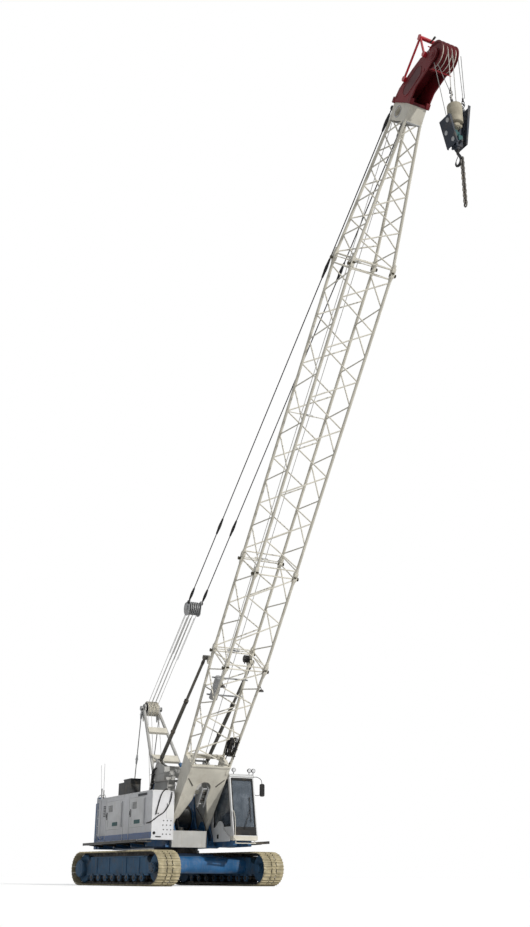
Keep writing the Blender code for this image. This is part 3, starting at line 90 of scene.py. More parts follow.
BOOM_HALF_WIDTH = 0.6425
BOOM_HALF_DEPTH = 0.56
BOOM_FOOT_HALF_DEPTH = 0.14
BOOM_FLARE = 0.42
BOOM_JOINTS = (5.88, 8.93, 18.08)
TIP_TAPER = 0.1048
CAB_TOE = (2.66, 1.42)
CAB_LEAN = (0.33, 1.75)
WIRE = 0.0085
UNDER_PLACE = Matrix.Translation((0, 0, GROUND)) @ Matrix.Rotation(SLEW, 4, "Z")
GROUND_PLACE = Matrix.Translation((0, 0, GROUND))
BOOM_PLACE = Matrix.Translation(BOOM_FOOT) @ Matrix.Rotation(-BOOM_TURN, 4, "Y")
Point = tuple[float, float]
Place = Vector | tuple[float, float, float]


class Body(Enum):
    """The model's bodies that pieces ride on."""

    UNDERCARRIAGE = "undercarriage"
    UPPER = "upper"
    WINCH_FRONT = "winch_front"
    WINCH_REAR = "winch_rear"
    LUFFING = "luffing_sheaves"
    BOOM = "boom"
    HEAD_SHEAVES = "head_sheaves"
    TUBES = "backstop_tubes"
    RODS = "backstop_rods"
    HOOK_BLOCK = "hook_block"
    HOOK = "hook"
    CAB_DOOR = "cab_door"
    DOOR_FRONT = "door_right_front"
    DOOR_REAR = "door_right_rear"
    DOOR_LEFT = "door_left"


class Axis(Enum):
    """The direction that an outline is pushed along, with its two drawing axes."""

    X = "yz"
    Y = "xz"
    Z = "xy"

    def put(self, u: float, v: float, w: float) -> Vector:
        """Return the point at (u, v) in the outline and w along the axis."""
        return Vector({"yz": (w, u, v), "xz": (u, w, v), "xy": (u, v, w)}[self.value])


@dataclass(frozen=True)
class Finish:
    """A painted, rolled or rubber surface with stains, chips and a fine grain."""

    name: str
    slot: str
    colour: tuple[float, float, float]
    rough: float = 0.5
    metal: float = 0.0
    shade: float = 0.80
    patch_scale: float = 1.6
    dirt: tuple[float, float, float] = (0.33, 0.27, 0.19)
    dirt_share: float = 0.25
    dirt_scale: float = 3.0
    streak: float = 0.0
    chip: tuple[float, float, float] = (0.16, 0.07, 0.03)
    chip_share: float = 0.02
    chip_scale: float = 34.0
    grain: float = 0.04
    grain_scale: float = 260.0
    coat: float = 0.0
    sheen: float = 0.28
    alpha: float = 1.0

    def build(self) -> bpy.types.Material:
        """Return the finish's material, made once.

        Returns:
            The material with its node tree on Object coordinates.
        """
        known = bpy.data.materials.get(self.name)
        if known:
            return known
        material = bpy.data.materials.new(self.name)
        material.use_nodes = True
        kit = NodeKit(material.node_tree)
        shader = kit.tree.nodes["Principled BSDF"]
        place = kit.add("ShaderNodeTexCoord").outputs["Object"]
        patches = kit.noise(place, self.patch_scale, 5.0, 0.55)
        dark = tuple(channel * self.shade for channel in self.colour)
        colour = kit.mix(kit.ramp(patches, 0.38, 0.66), dark, self.colour)
        if self.streak > 0:
            stretched = kit.add("ShaderNodeMapping", Scale=(9.0, 9.0, 0.55))
            kit.link(place, stretched.inputs["Vector"])
            runs = kit.noise(stretched.outputs["Vector"], 2.2, 6.0, 0.6)
            colour = kit.mix(kit.scale(kit.ramp(runs, 0.54, 0.72), self.streak), colour, self.dirt)
        stain = kit.scale(kit.ramp(kit.noise(place, self.dirt_scale, 9.0, 0.65), 0.48, 0.74), self.dirt_share)
        colour = kit.mix(stain, colour, self.dirt)
        edge = 0.74 - self.chip_share * 2.2
        chips = kit.ramp(kit.noise(place, self.chip_scale, 4.0, 0.7), edge, edge + 0.02)
        colour = kit.mix(chips, colour, self.chip)
        kit.link(colour, shader.inputs["Base Color"])
        rough = kit.blend(stain, self.rough, min(1.0, self.rough + 0.28))
        kit.link(kit.blend(chips, rough, 0.85), shader.inputs["Roughness"])
        shader.inputs["Metallic"].default_value = self.metal
        shader.inputs["Coat Weight"].default_value = self.coat
        shader.inputs["Specular IOR Level"].default_value = self.sheen
        bump = kit.add("ShaderNodeBump", Strength=self.grain, Distance=0.004)
        kit.link(kit.noise(place, self.grain_scale, 3.0, 0.5), bump.inputs["Height"])
        kit.link(bump.outputs["Normal"], shader.inputs["Normal"])
        if self.alpha < 1.0:
            shader.inputs["Alpha"].default_value = self.alpha
        material.diffuse_color = (*self.colour, 1.0)
        return material


class NodeKit:
    """Short ways to add and join shader nodes."""

    def __init__(self, tree: bpy.types.NodeTree) -> None:
        """Keep the tree that nodes are added to."""
        self.tree = tree

    def add(self, kind: str, **values: object) -> bpy.types.Node:
        """Return a new node with its named inputs set."""
        node = self.tree.nodes.new(kind)
        for name, value in values.items():
            node.inputs[name].default_value = value
        return node

    def link(self, source: bpy.types.NodeSocket, target: bpy.types.NodeSocket) -> None:
        """Join an output to an input."""
        self.tree.links.new(source, target)

    def feed(self, sockets: tuple[bpy.types.NodeSocket, ...], values: tuple[object, ...]) -> None:
        """Join each value that is a socket to its input, and set the others."""
        for socket, value in zip(sockets, values):
            if isinstance(value, bpy.types.NodeSocket):
                self.link(value, socket)
            else:
                socket.default_value = (*value, 1.0) if isinstance(value, tuple) else value

    def noise(self, place: bpy.types.NodeSocket, scale: float, detail: float,
              rough: float) -> bpy.types.NodeSocket:
        """Return a noise value at a place."""
        node = self.add("ShaderNodeTexNoise", Scale=scale, Detail=detail, Roughness=rough)
        self.link(place, node.inputs["Vector"])
        return node.outputs["Fac"]

    def ramp(self, value: bpy.types.NodeSocket, low: float, high: float) -> bpy.types.NodeSocket:
        """Return 0 below low and 1 above high, smooth between them."""
        node = self.tree.nodes.new("ShaderNodeMapRange")
        node.interpolation_type = "SMOOTHSTEP"
        node.inputs["From Min"].default_value = low
        node.inputs["From Max"].default_value = high
        self.link(value, node.inputs["Value"])
        return node.outputs["Result"]

    def math(self, kind: str, first: object, second: object = 0.0) -> bpy.types.NodeSocket:
        """Return a sum, product or comparison of two values or sockets."""
        node = self.tree.nodes.new("ShaderNodeMath")
        node.operation = kind
        self.feed(node.inputs, (first, second))
        return node.outputs["Value"]

    def scale(self, value: bpy.types.NodeSocket, factor: float) -> bpy.types.NodeSocket:
        """Return a value times a factor."""
        return self.math("MULTIPLY", value, factor)

    def blend(self, share: bpy.types.NodeSocket, first: object, second: float) -> bpy.types.NodeSocket:
        """Return a number that goes from first to second as share goes from 0 to 1."""
        node = self.tree.nodes.new("ShaderNodeMix")
        node.data_type = "FLOAT"
        self.link(share, node.inputs[0])
        self.feed(node.inputs[2:4], (first, second))
        return node.outputs[0]

    def mix(self, share: bpy.types.NodeSocket, first: object, second: object) -> bpy.types.NodeSocket:
        """Return a colour between two colours or sockets."""
        node = self.tree.nodes.new("ShaderNodeMix")
        node.data_type = "RGBA"
        self.link(share, node.inputs[0])
        self.feed(node.inputs[6:8], (first, second))
        return node.outputs[2]


@dataclass(frozen=True)
class Banded(Finish):
    """House paint: the base colour above a line, a second one below it on the sides."""

    band: tuple[float, float, float] = (0.016, 0.095, 0.30)
    line_z: float = 1.165

    def build(self) -> bpy.types.Material:
        """Return the two-coloured material."""
        known = bpy.data.materials.get(self.name)
        if known:
            return known
        material = super().build()
        kit = NodeKit(material.node_tree)
        shader = kit.tree.nodes["Principled BSDF"]
        socket = shader.inputs["Base Color"]
        upper = socket.links[0].from_socket
        place = kit.add("ShaderNodeTexCoord")
        height = kit.add("ShaderNodeSeparateXYZ")
        kit.link(place.outputs["Object"], height.inputs["Vector"])
        facing = kit.add("ShaderNodeSeparateXYZ")
        kit.link(place.outputs["Normal"], facing.inputs["Vector"])
        below = kit.math("LESS_THAN", height.outputs["Z"], self.line_z)
        sideways = kit.math("GREATER_THAN", kit.math("ABSOLUTE", facing.outputs["Y"]), 0.6)
        mask = kit.math("MULTIPLY", below, sideways)
        worn = kit.mix(kit.ramp(kit.noise(place.outputs["Object"], 2.4, 6.0, 0.6), 0.4, 0.7),
                       self.band, tuple(channel * 0.72 for channel in self.band))
        kit.link(kit.mix(mask, upper, worn), socket)
        return material


BLUE = Finish("blue_paint_worn", "blue_paint", (0.022, 0.120, 0.29), 0.45, shade=0.70, streak=0.25,
              dirt=(0.27, 0.24, 0.19), dirt_share=0.40, chip=(0.12, 0.10, 0.09), chip_share=0.035, coat=0.2)
SLAB_BLUE = Finish("weight_blue", "blue_paint", (0.045, 0.130, 0.29), 0.5, shade=0.75, streak=0.3,
                   chip_share=0.03)
WHITE = Finish("white_paint_worn", "white_paint", (0.74, 0.75, 0.76), 0.42, shade=0.90, streak=0.10,
               dirt=(0.42, 0.38, 0.31), dirt_share=0.22, chip=(0.25, 0.20, 0.16), chip_share=0.01, coat=0.15)
HOUSE = Banded("house_paint", "white_paint", (0.72, 0.73, 0.76), 0.42, shade=0.90, streak=0.14,
               dirt=(0.42, 0.38, 0.31), dirt_share=0.22, chip=(0.25, 0.20, 0.16), chip_share=0.01, coat=0.15)
CREAM = Finish("cream_paint_worn", "cream_paint", (0.74, 0.71, 0.62), 0.45, shade=0.84, streak=0.12,
               dirt=(0.34, 0.29, 0.21), dirt_share=0.30, chip=(0.20, 0.11, 0.06), chip_share=0.03, coat=0.1)
GREY = Finish("galvanised", "grey_steel", (0.40, 0.41, 0.42), 0.48, 0.35, shade=0.74, patch_scale=9.0,
              dirt_share=0.25, chip=(0.22, 0.20, 0.18), chip_share=0.03)
# The head's red as it looks in shade: painted shade, with real dirt and chips on top.
RED_SHADED = Finish("red_paint_worn_and_shaded", "red_paint", (0.19, 0.010, 0.016), 0.6, shade=0.62, streak=0.25,
             dirt=(0.09, 0.035, 0.035), dirt_share=0.45, chip=(0.20, 0.13, 0.10), chip_share=0.025, coat=0.05)
# The same red as it looks in sun: a painted highlight, for the head's strut and rope guards.
RED_SUNLIT = Finish("red_paint_sunlit", "red_paint", (0.52, 0.016, 0.030), 0.34, shade=0.80, dirt_share=0.15,
                    dirt=(0.16, 0.06, 0.05), chip=(0.28, 0.16, 0.12), chip_share=0.02, coat=0.3)
BLACK = Finish("black_paint_worn", "black_paint", (0.022, 0.022, 0.024), 0.42, shade=0.7, dirt_share=0.22,
               chip=(0.16, 0.13, 0.11), chip_share=0.02)
DARK = Finish("oiled_steel", "dark_steel", (0.055, 0.053, 0.052), 0.46, 0.55, shade=0.6, dirt_share=0.35,
              chip=(0.18, 0.10, 0.06), chip_share=0.04)
RUBBER = Finish("hose_rubber", "black_paint", (0.018, 0.018, 0.019), 0.62, shade=0.8, dirt_share=0.18,
                chip_share=0.0, grain=0.12, grain_scale=420.0)
DUSTY = Finish("dusty_shoes", "dusty_steel", (0.50, 0.44, 0.29), 0.86, 0.05, shade=0.70, patch_scale=5.0,
               dirt=(0.60, 0.54, 0.40), dirt_share=0.55, dirt_scale=7.0, chip=(0.10, 0.08, 0.06),
               chip_share=0.04, chip_scale=22.0, grain=0.22, grain_scale=90.0)
ROPE = Finish("wire_rope", "rope_steel", (0.25, 0.25, 0.245), 0.42, 0.7, shade=0.6, patch_scale=30.0,
              dirt_share=0.20, grain=0.5, grain_scale=160.0)
PALE_ROPE = Finish("dry_wire_rope", "rope_steel", (0.50, 0.49, 0.46), 0.5, 0.35, shade=0.7, patch_scale=30.0,
                   dirt_share=0.15, grain=0.5, grain_scale=160.0)
CONCRETE = Finish("weight_cream", "dark_steel", (0.50, 0.46, 0.36), 0.72, shade=0.78, patch_scale=4.0,
                  dirt=(0.20, 0.17, 0.13), dirt_share=0.35, chip_share=0.03, grain=0.15, grain_scale=120.0)
FABRIC = Finish("seat_cover", "fabric", (0.13, 0.030, 0.028), 0.92, shade=0.75, patch_scale=14.0,
                dirt_share=0.08, chip_share=0.0, grain=0.45, grain_scale=700.0)
LAMP = Finish("lamp_lens", "grey_steel", (0.75, 0.76, 0.78), 0.12, 0.2, shade=0.92, dirt_share=0.05,
              chip_share=0.0, grain=0.05, coat=0.6)
BLUE_DUSTY = Finish("blue_paint_dusty", "blue_paint", (0.048, 0.130, 0.240), 0.6, shade=0.72, streak=0.50,
                    dirt=(0.17, 0.14, 0.11), dirt_share=0.62, dirt_scale=2.2, chip=(0.10, 0.07, 0.05),
                    chip_share=0.05)
OLIVE = Finish("pin_grease", "dark_steel", (0.060, 0.052, 0.026), 0.5, 0.3, shade=0.6, dirt_share=0.4)
CHEEK = Finish("cheek_paint", "dark_steel", (0.034, 0.045, 0.065), 0.6, shade=0.7, dirt_share=0.35)
DUSTY_CHAIN = Finish("chain_steel", "rope_steel", (0.20, 0.19, 0.175), 0.55, 0.5, shade=0.6, dirt_share=0.4,
                     patch_scale=20.0)
TEAL = Finish("plate_teal", "blue_paint", (0.02, 0.11, 0.115), 0.55, dirt_share=0.2)
TUBE = Finish("backstop_brown", "black_paint", (0.13, 0.125, 0.11), 0.5, shade=0.7, streak=0.3,
              chip=(0.20, 0.12, 0.08), chip_share=0.03)
# Painted shade: a darker red for the head's recesses, with some dirt on top.
RED_RECESS_SHADE = Finish("red_recess_shade", "red_paint", (0.10, 0.006, 0.012), 0.5, shade=0.6, dirt=(0.05, 0.03, 0.03),
                  dirt_share=0.4, chip_share=0.01)
SEAL = Finish("seal_rubber", "black_paint", (0.014, 0.014, 0.015), 0.7, chip_share=0.0, dirt_share=0.15)
AMBER = Finish("marker_lens", "red_paint", (0.55, 0.10, 0.02), 0.2, dirt_share=0.1, chip_share=0.0, coat=0.5)
ROOF_DARK = Finish("roof_box_paint", "grey_steel", (0.030, 0.034, 0.038), 0.5, shade=0.7, dirt_share=0.3)
TOWER = Finish("tower_paint", "grey_steel", (0.50, 0.50, 0.485), 0.55, shade=0.82, streak=0.2, dirt_share=0.3)
# Painted highlight: a lighter blue for the sunlit lower part of the carbody's ends.
BLUE_HIGHLIGHT = Finish("blue_paint_highlight", "blue_paint", (0.10, 0.24, 0.46), 0.45, streak=0.2, dirt_share=0.3)
LOUVRE = Finish("louvre_dark", "dark_steel", (0.05, 0.055, 0.065), 0.55, 0.2, dirt_share=0.3, chip_share=0.01)


@dataclass(frozen=True)
class Pane:
    """Tinted safety glass."""

    name: str = "tinted_pane"
    slot: str = "glass"
    colour: tuple[float, float, float] = (0.075, 0.100, 0.130)
    alpha: float = 0.62

    def build(self) -> bpy.types.Material:
        """Return the glass material, a dark gloss that shows a little of the inside."""
        known = bpy.data.materials.get(self.name)
        if known:
            return known
        material = bpy.data.materials.new(self.name)
        material.use_nodes = True
        kit = NodeKit(material.node_tree)
        shader = kit.tree.nodes["Principled BSDF"]
        place = kit.add("ShaderNodeTexCoord").outputs["Object"]
        film = kit.ramp(kit.noise(place, 2.6, 6.0, 0.6), 0.42, 0.74)
        kit.link(kit.mix(film, self.colour, (0.13, 0.16, 0.20)), shader.inputs["Base Color"])
        kit.link(kit.blend(film, 0.04, 0.14), shader.inputs["Roughness"])
        kit.link(kit.blend(film, self.alpha, min(1.0, self.alpha + 0.16)), shader.inputs["Alpha"])
        shader.inputs["Coat Weight"].default_value = 0.4
        return material


GLASS = Pane()


def up(x: float, y: float, z: float) -> Vector:
    """Return the row frame's point at a height above the ground."""
    return Vector((x, y, z + GROUND))


def pair(sign: int, low: float, high: float) -> Point:
    """Return a (low, high) span on one side of the middle plane."""
    return (low, high) if sign > 0 else (-high, -low)


def span(first: float, last: float) -> Point:
    """Return two ends in rising order."""
    return min(first, last), max(first, last)


def about(middle: float, half: float) -> Point:
    """Return the span that reaches half to both sides of a middle."""
    return middle - half, middle + half


def mirrored(half: list[Point]) -> list[Point]:
    """Return a turned profile from its half, given from the middle outward."""
    return [(-u, radius) for u, radius in half[::-1]] + half


def circle(radius: float, steps: int, centre: Point = (0.0, 0.0), start: float = 0.0,
           sweep: float = 360.0) -> list[Point]:
    """Return points on a circle, or on an arc with both its ends.

    Args:
        radius: The circle's radius.
        steps: The number of straight steps.
        centre: The circle's centre in the outline's plane.
        start: The first point's angle in degrees.
        sweep: The arc's angle in degrees, anticlockwise where positive.

    Returns:
        The points, in order.
    """
    count = steps if sweep >= 360.0 else steps + 1
    turns = [math.radians(start + sweep * i / steps) for i in range(count)]
    return [(centre[0] + radius * math.cos(a), centre[1] + radius * math.sin(a)) for a in turns]


def rounded(low: Point, high: Point, radius: float, steps: int = 4) -> list[Point]:
    """Return a rectangle's outline with round corners, anticlockwise."""
    corners = (((high[0] - radius, high[1] - radius), 0), ((low[0] + radius, high[1] - radius), 90),
               ((low[0] + radius, low[1] + radius), 180), ((high[0] - radius, low[1] + radius), 270))
    points: list[Point] = []
    for centre, start in corners:
        points += circle(radius, steps, centre, start, 90)
    return points


def square_to(direction: Vector) -> tuple[Vector, Vector]:
    """Return two unit vectors square to a direction and to each other."""
    axis = direction.normalized()
    guide = Vector((0, 1, 0)) if abs(axis.y) < 0.9 else Vector((0, 0, 1))
    first = axis.cross(guide).normalized()
    return first, axis.cross(first)


def smooth_path(knots: list[Place], steps: int = 6) -> list[Vector]:
    """Return a smooth line through knots.

    Args:
        knots: The points that the line passes.
        steps: The number of steps between two knots.

    Returns:
        The line's points.
    """
    points = [Vector(knot) for knot in knots]
    padded = [2 * points[0] - points[1]] + points + [2 * points[-1] - points[-2]]
    line: list[Vector] = []
    for i in range(1, len(padded) - 2):
        before, near, far, after = padded[i - 1:i + 3]
        for step in range(steps):
            t = step / steps
            line.append(0.5 * (2 * near + (far - before) * t
                               + (2 * before - 5 * near + 4 * far - after) * t * t
                               + (3 * near - before - 3 * far + after) * t ** 3))
    return line + [points[-1]]


class Form:
    """Closed solids gathered into one piece of the crane."""

    def __init__(self, place: Matrix | None = None) -> None:
        """Start an empty form whose points are turned by place at the end."""
        self.place = place or Matrix.Identity(4)
        self.mesh = bmesh.new()

    def loft(self, rings: list[list[Vector]], closed: bool = False) -> None:
        """Add a skin over equal rings, capped or joined end to end.

        Args:
            rings: The rows of points.
            closed: True to join the last ring to the first.
        """
        rows = [[self.mesh.verts.new(point) for point in ring] for ring in rings]
        following = rows[1:] + rows[:1] if closed else rows[1:]
        for near, far in zip(rows, following):
            for i in range(len(near)):
                j = (i + 1) % len(near)
                self.mesh.faces.new((near[i], near[j], far[j], far[i]))
        if not closed:
            self.mesh.faces.new(rows[0])
            self.mesh.faces.new(rows[-1])

    def prism(self, outline: list[Point], low: float, high: float, along: Axis = Axis.Y) -> None:
        """Push an outline along an axis from low to high."""
        self.loft([[along.put(u, v, w) for u, v in outline] for w in (low, high)])

    def plate(self, outline: list[Point], low: float, high: float, along: Axis = Axis.Y,
              edge: float = 0.004) -> None:
        """Push an outline along an axis, its rims drawn in by a small edge."""
        middle = Vector((sum(u for u, _ in outline), sum(v for _, v in outline))) / len(outline)
        inner = []
        for u, v in outline:
            away = Vector((u, v)) - middle
            away *= max(0.0, 1 - edge / max(away.length, edge))
            inner.append((middle.x + away.x, middle.y + away.y))
        step = edge if high > low else -edge
        rows = ((inner, low), (outline, low + step), (outline, high - step), (inner, high))
        self.loft([[along.put(u, v, w) for u, v in ring] for ring, w in rows])

    def box(self, x: Point, y: Point, z: Point, edge: float = 0.0) -> None:
        """Add a box from three (low, high) pairs, with its long edges eased."""
        if edge > 0:
            self.prism(rounded((x[0], z[0]), (x[1], z[1]), edge, 2), y[0], y[1])
        else:
            self.prism([(x[0], z[0]), (x[1], z[0]), (x[1], z[1]), (x[0], z[1])], y[0], y[1])

    def frame(self, outer: list[Point], inner: list[Point], low: float, high: float,
              along: Axis = Axis.Y) -> None:
        """Add a flat frame between two outlines with as many points."""
        rows = [(outer, low), (outer, high), (inner, high), (inner, low)]
        self.loft([[along.put(u, v, w) for u, v in ring] for ring, w in rows], closed=True)

    def lathe(self, profile: list[Point], base: Place = (0, 0, 0), axis: Place = (0, 1, 0), sides: int = 24,
              closed: bool = False) -> None:
        """Turn (distance along the axis, radius) points about an axis through base."""
        along = Vector(axis).normalized()
        first, second = square_to(along)
        ring = circle(1.0, sides)
        rows = [[Vector(base) + along * distance + (first * u + second * v) * radius for u, v in ring]
                for distance, radius in profile]
        self.loft(rows, closed)

    def rod(self, start: Place, end: Place, radius: float, sides: int = 12,
            end_radius: float | None = None) -> None:
        """Add a round bar between two points."""
        span = Vector(end) - Vector(start)
        last = radius if end_radius is None else end_radius
        self.lathe([(0.0, radius), (span.length, last)], start, span, sides)

    def path(self, points: list[Vector], radius: float, sides: int = 8) -> None:
        """Add a tube along a line, its ring carried without twist."""
        ring = circle(1.0, sides)
        tangent = (points[1] - points[0]).normalized()
        first, _ = square_to(tangent)
        rows = []
        for i, point in enumerate(points):
            ahead = points[min(i + 1, len(points) - 1)] - points[max(i - 1, 0)]
            tangent = ahead.normalized()
            first = (first - tangent * first.dot(tangent)).normalized()
            second = tangent.cross(first)
            rows.append([point + (first * u + second * v) * radius for u, v in ring])
        self.loft(rows)

    def loop(self, centre: Place, normal: Place, radius: float, wire: float, steps: int = 20, sides: int = 8,
             stretch: float = 1.0) -> None:
        """Add a closed ring of wire, drawn out along its first axis by stretch."""
        axis = Vector(normal).normalized()
        first, second = square_to(axis)
        rows = []
        for u, v in circle(1.0, steps):
            out = (first * u * stretch + second * v).normalized()
            middle = Vector(centre) + first * u * radius * stretch + second * v * radius
            rows.append([middle + out * wire * a + axis * wire * b for a, b in circle(1.0, sides)])
        self.loft(rows, closed=True)

    def mirror(self) -> None:
        """Add the form's reflection in the middle plane."""
        whole = self.mesh.verts[:] + self.mesh.edges[:] + self.mesh.faces[:]
        for item in bmesh.ops.duplicate(self.mesh, geom=whole)["geom"]:
            if isinstance(item, bmesh.types.BMVert):
                item.co.y = -item.co.y

    def plain(self, name: str) -> bpy.types.Mesh:
        """Return the form as a mesh that faces outward, and close the form."""
        bmesh.ops.recalc_face_normals(self.mesh, faces=self.mesh.faces)
        data = bpy.data.meshes.new(name)
        self.mesh.to_mesh(data)
        self.mesh.free()
        return data

    def done(self, name: str, body: Body, finish: Finish | Pane, replaces: tuple[str, ...] = (),
             bevel: float = 0.0) -> bpy.types.Object:
        """Turn the form into a piece of the crane.

        Args:
            name: The piece's name.
            body: The body that it rides on.
            finish: Its surface.
            replaces: The model's nodes that it stands for.
            bevel: The width of a live bevel on its sharp edges.

        Returns:
            The finished object.
        """
        bmesh.ops.remove_doubles(self.mesh, verts=self.mesh.verts, dist=1e-6)
        data = self.plain(name)
        data.transform(self.place)
        return settle(name, data, body, finish, replaces, bevel)


def stand(name: str, data: bpy.types.ID) -> bpy.types.Object:
    """Return a new object in the scene around its data."""
    thing = bpy.data.objects.new(name, data)
    bpy.context.scene.collection.objects.link(thing)
    return thing


def evaluated(thing: bpy.types.Object) -> bpy.types.Mesh:
    """Return an object's mesh with its modifiers run, and clear them."""
    graph = bpy.context.evaluated_depsgraph_get()
    data = bpy.data.meshes.new_from_object(thing.evaluated_get(graph))
    thing.modifiers.clear()
    return data


def forms(count: int, place: Matrix | None = None) -> list[Form]:
    """Return empty forms that share one place."""
    return [Form(place) for _ in range(count)]


def settle(name: str, data: bpy.types.Mesh, body: Body, finish: Finish | Pane, replaces: tuple[str, ...] = (),
           bevel: float = 0.0) -> bpy.types.Object:
    """Link a mesh as a piece on its body, and hide the model's nodes that it stands for.

    Args:
        name: The piece's name.
        data: Its mesh, in the row frame.
        body: The body that it rides on.
        finish: Its surface.
        replaces: The model's nodes that it stands for.
        bevel: The width of a live bevel on its sharp edges.

    Returns:
        The finished object.
    """
    data.materials.clear()
    data.materials.append(finish.build())
    data.shade_smooth()
    data.set_sharp_from_angle(angle=SMOOTH_ANGLE)
    piece = stand(name, data)
    if bevel > 0:
        ease = piece.modifiers.new("eased_edges", "BEVEL")
        ease.width = bevel
        ease.segments = 2
        ease.limit_method = "ANGLE"
        ease.angle_limit = math.radians(50)
        ease.harden_normals = True
    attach(piece, body.value)
    if replaces:
        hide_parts(*replaces)
    LOG.info("%s: %d faces on %s", name, len(data.polygons), body.value)
    return piece


class Grower:
    """Geometry Nodes trees for what repeats or follows lines."""

    def __init__(self) -> None:
        """Build the two trees once."""
        self.tubes = self.tube_tree()
        self.copies = self.copy_tree()

    @staticmethod
    def start(name: str, inputs: tuple[tuple[str, str, object], ...]) -> bpy.types.GeometryNodeTree:
        """Return a new tree with a geometry in and out and named inputs."""
        tree = bpy.data.node_groups.new(name, "GeometryNodeTree")
        tree.interface.new_socket("Geometry", in_out="INPUT", socket_type="NodeSocketGeometry")
        for label, kind, value in inputs:
            socket = tree.interface.new_socket(label, in_out="INPUT", socket_type=kind)
            if value is not None:
                socket.default_value = value
        tree.interface.new_socket("Geometry", in_out="OUTPUT", socket_type="NodeSocketGeometry")
        return tree

    @staticmethod
    def wire(tree: bpy.types.GeometryNodeTree,
             *joins: tuple[bpy.types.Node, str, bpy.types.Node, str]) -> None:
        """Join the rows of (node, its output, node, its input)."""
        for source, output, target, entry in joins:
            tree.links.new(source.outputs[output], target.inputs[entry])

    def close(self, tree: bpy.types.GeometryNodeTree, last: bpy.types.Node, output: str,
              source: bpy.types.Node) -> None:
        """End a tree in Realize Instances and Set Material."""
        solid = tree.nodes.new("GeometryNodeRealizeInstances")
        paint = tree.nodes.new("GeometryNodeSetMaterial")
        out = tree.nodes.new("NodeGroupOutput")
        self.wire(tree, (last, output, solid, "Geometry"), (solid, "Geometry", paint, "Geometry"),
                  (source, "Material", paint, "Material"), (paint, "Geometry", out, "Geometry"))

    def tube_tree(self) -> bpy.types.GeometryNodeTree:
        """Return the tree that turns edges into round bars."""
        tree = self.start("round_bars", (("Radius", "NodeSocketFloat", 0.02), ("Sides", "NodeSocketInt", 10),
                                         ("Material", "NodeSocketMaterial", None)))
        source = tree.nodes.new("NodeGroupInput")
        line = tree.nodes.new("GeometryNodeMeshToCurve")
        ring = tree.nodes.new("GeometryNodeCurvePrimitiveCircle")
        bars = tree.nodes.new("GeometryNodeCurveToMesh")
        bars.inputs["Fill Caps"].default_value = True
        self.wire(tree, (source, "Geometry", line, "Mesh"), (source, "Sides", ring, "Resolution"),
                  (source, "Radius", ring, "Radius"), (line, "Curve", bars, "Curve"),
                  (ring, "Curve", bars, "Profile Curve"))
        self.close(tree, bars, "Mesh", source)
        return tree

    def copy_tree(self) -> bpy.types.GeometryNodeTree:
        """Return the tree that stands a copy of one pattern on each point."""
        tree = self.start("copies", (("Pattern", "NodeSocketObject", None),
                                     ("Material", "NodeSocketMaterial", None)))
        source = tree.nodes.new("NodeGroupInput")
        pattern = tree.nodes.new("GeometryNodeObjectInfo")
        turn = tree.nodes.new("GeometryNodeInputNamedAttribute")
        turn.data_type = "FLOAT_VECTOR"
        turn.inputs["Name"].default_value = "turn"
        euler = tree.nodes.new("FunctionNodeEulerToRotation")
        spread = tree.nodes.new("GeometryNodeInstanceOnPoints")
        self.wire(tree, (source, "Pattern", pattern, "Object"), (source, "Geometry", spread, "Points"),
                  (pattern, "Geometry", spread, "Instance"), (turn, "Attribute", euler, "Euler"),
                  (euler, "Rotation", spread, "Rotation"))
        self.close(tree, spread, "Instances", source)
        return tree

    @staticmethod
    def grow(name: str, seedling: bpy.types.Mesh, tree: bpy.types.GeometryNodeTree,
             values: dict[str, object]) -> bpy.types.Mesh:
        """Run a tree on a mesh and return the plain result.

        Args:
            name: The result's name.
            seedling: The mesh of lines or points.
            tree: The tree to run.
            values: The tree's named inputs.

        Returns:
            The plain mesh.
        """
        carrier = stand(f"{name}_lines", seedling)
        step = carrier.modifiers.new("grow", "NODES")
        step.node_group = tree
        for socket in tree.interface.items_tree:
            if socket.item_type == "SOCKET" and socket.in_out == "INPUT" and socket.name in values:
                step[socket.identifier] = values[socket.name]
        result = evaluated(carrier)
        result.name = name
        bpy.data.objects.remove(carrier)
        return result

    def bars(self, name: str, lines: list[list[Vector]], radius: float, body: Body, finish: Finish,
             sides: int = 10, place: Matrix | None = None,
             replaces: tuple[str, ...] = ()) -> bpy.types.Object:
        """Make round bars along lines.

        Args:
            name: The piece's name.
            lines: The bars' lines, each a row of points.
            radius: The bars' radius.
            body: The body that they ride on.
            finish: Their surface.
            sides: The number of sides of a bar.
            place: The turn and shift of the points into the row frame.
            replaces: The model's nodes that the piece stands for.

        Returns:
            The finished object.
        """
        points: list[Vector] = []
        edges: list[tuple[int, int]] = []
        for line in lines:
            first = len(points)
            points += [place @ Vector(point) if place else Vector(point) for point in line]
            edges += [(i, i + 1) for i in range(first, len(points) - 1)]
        seedling = bpy.data.meshes.new(f"{name}_seed")
        seedling.from_pydata(points, edges, [])
        values = {"Radius": radius, "Sides": sides, "Material": finish.build()}
        data = self.grow(name, seedling, self.tubes, values)
        return settle(name, data, body, finish, replaces)

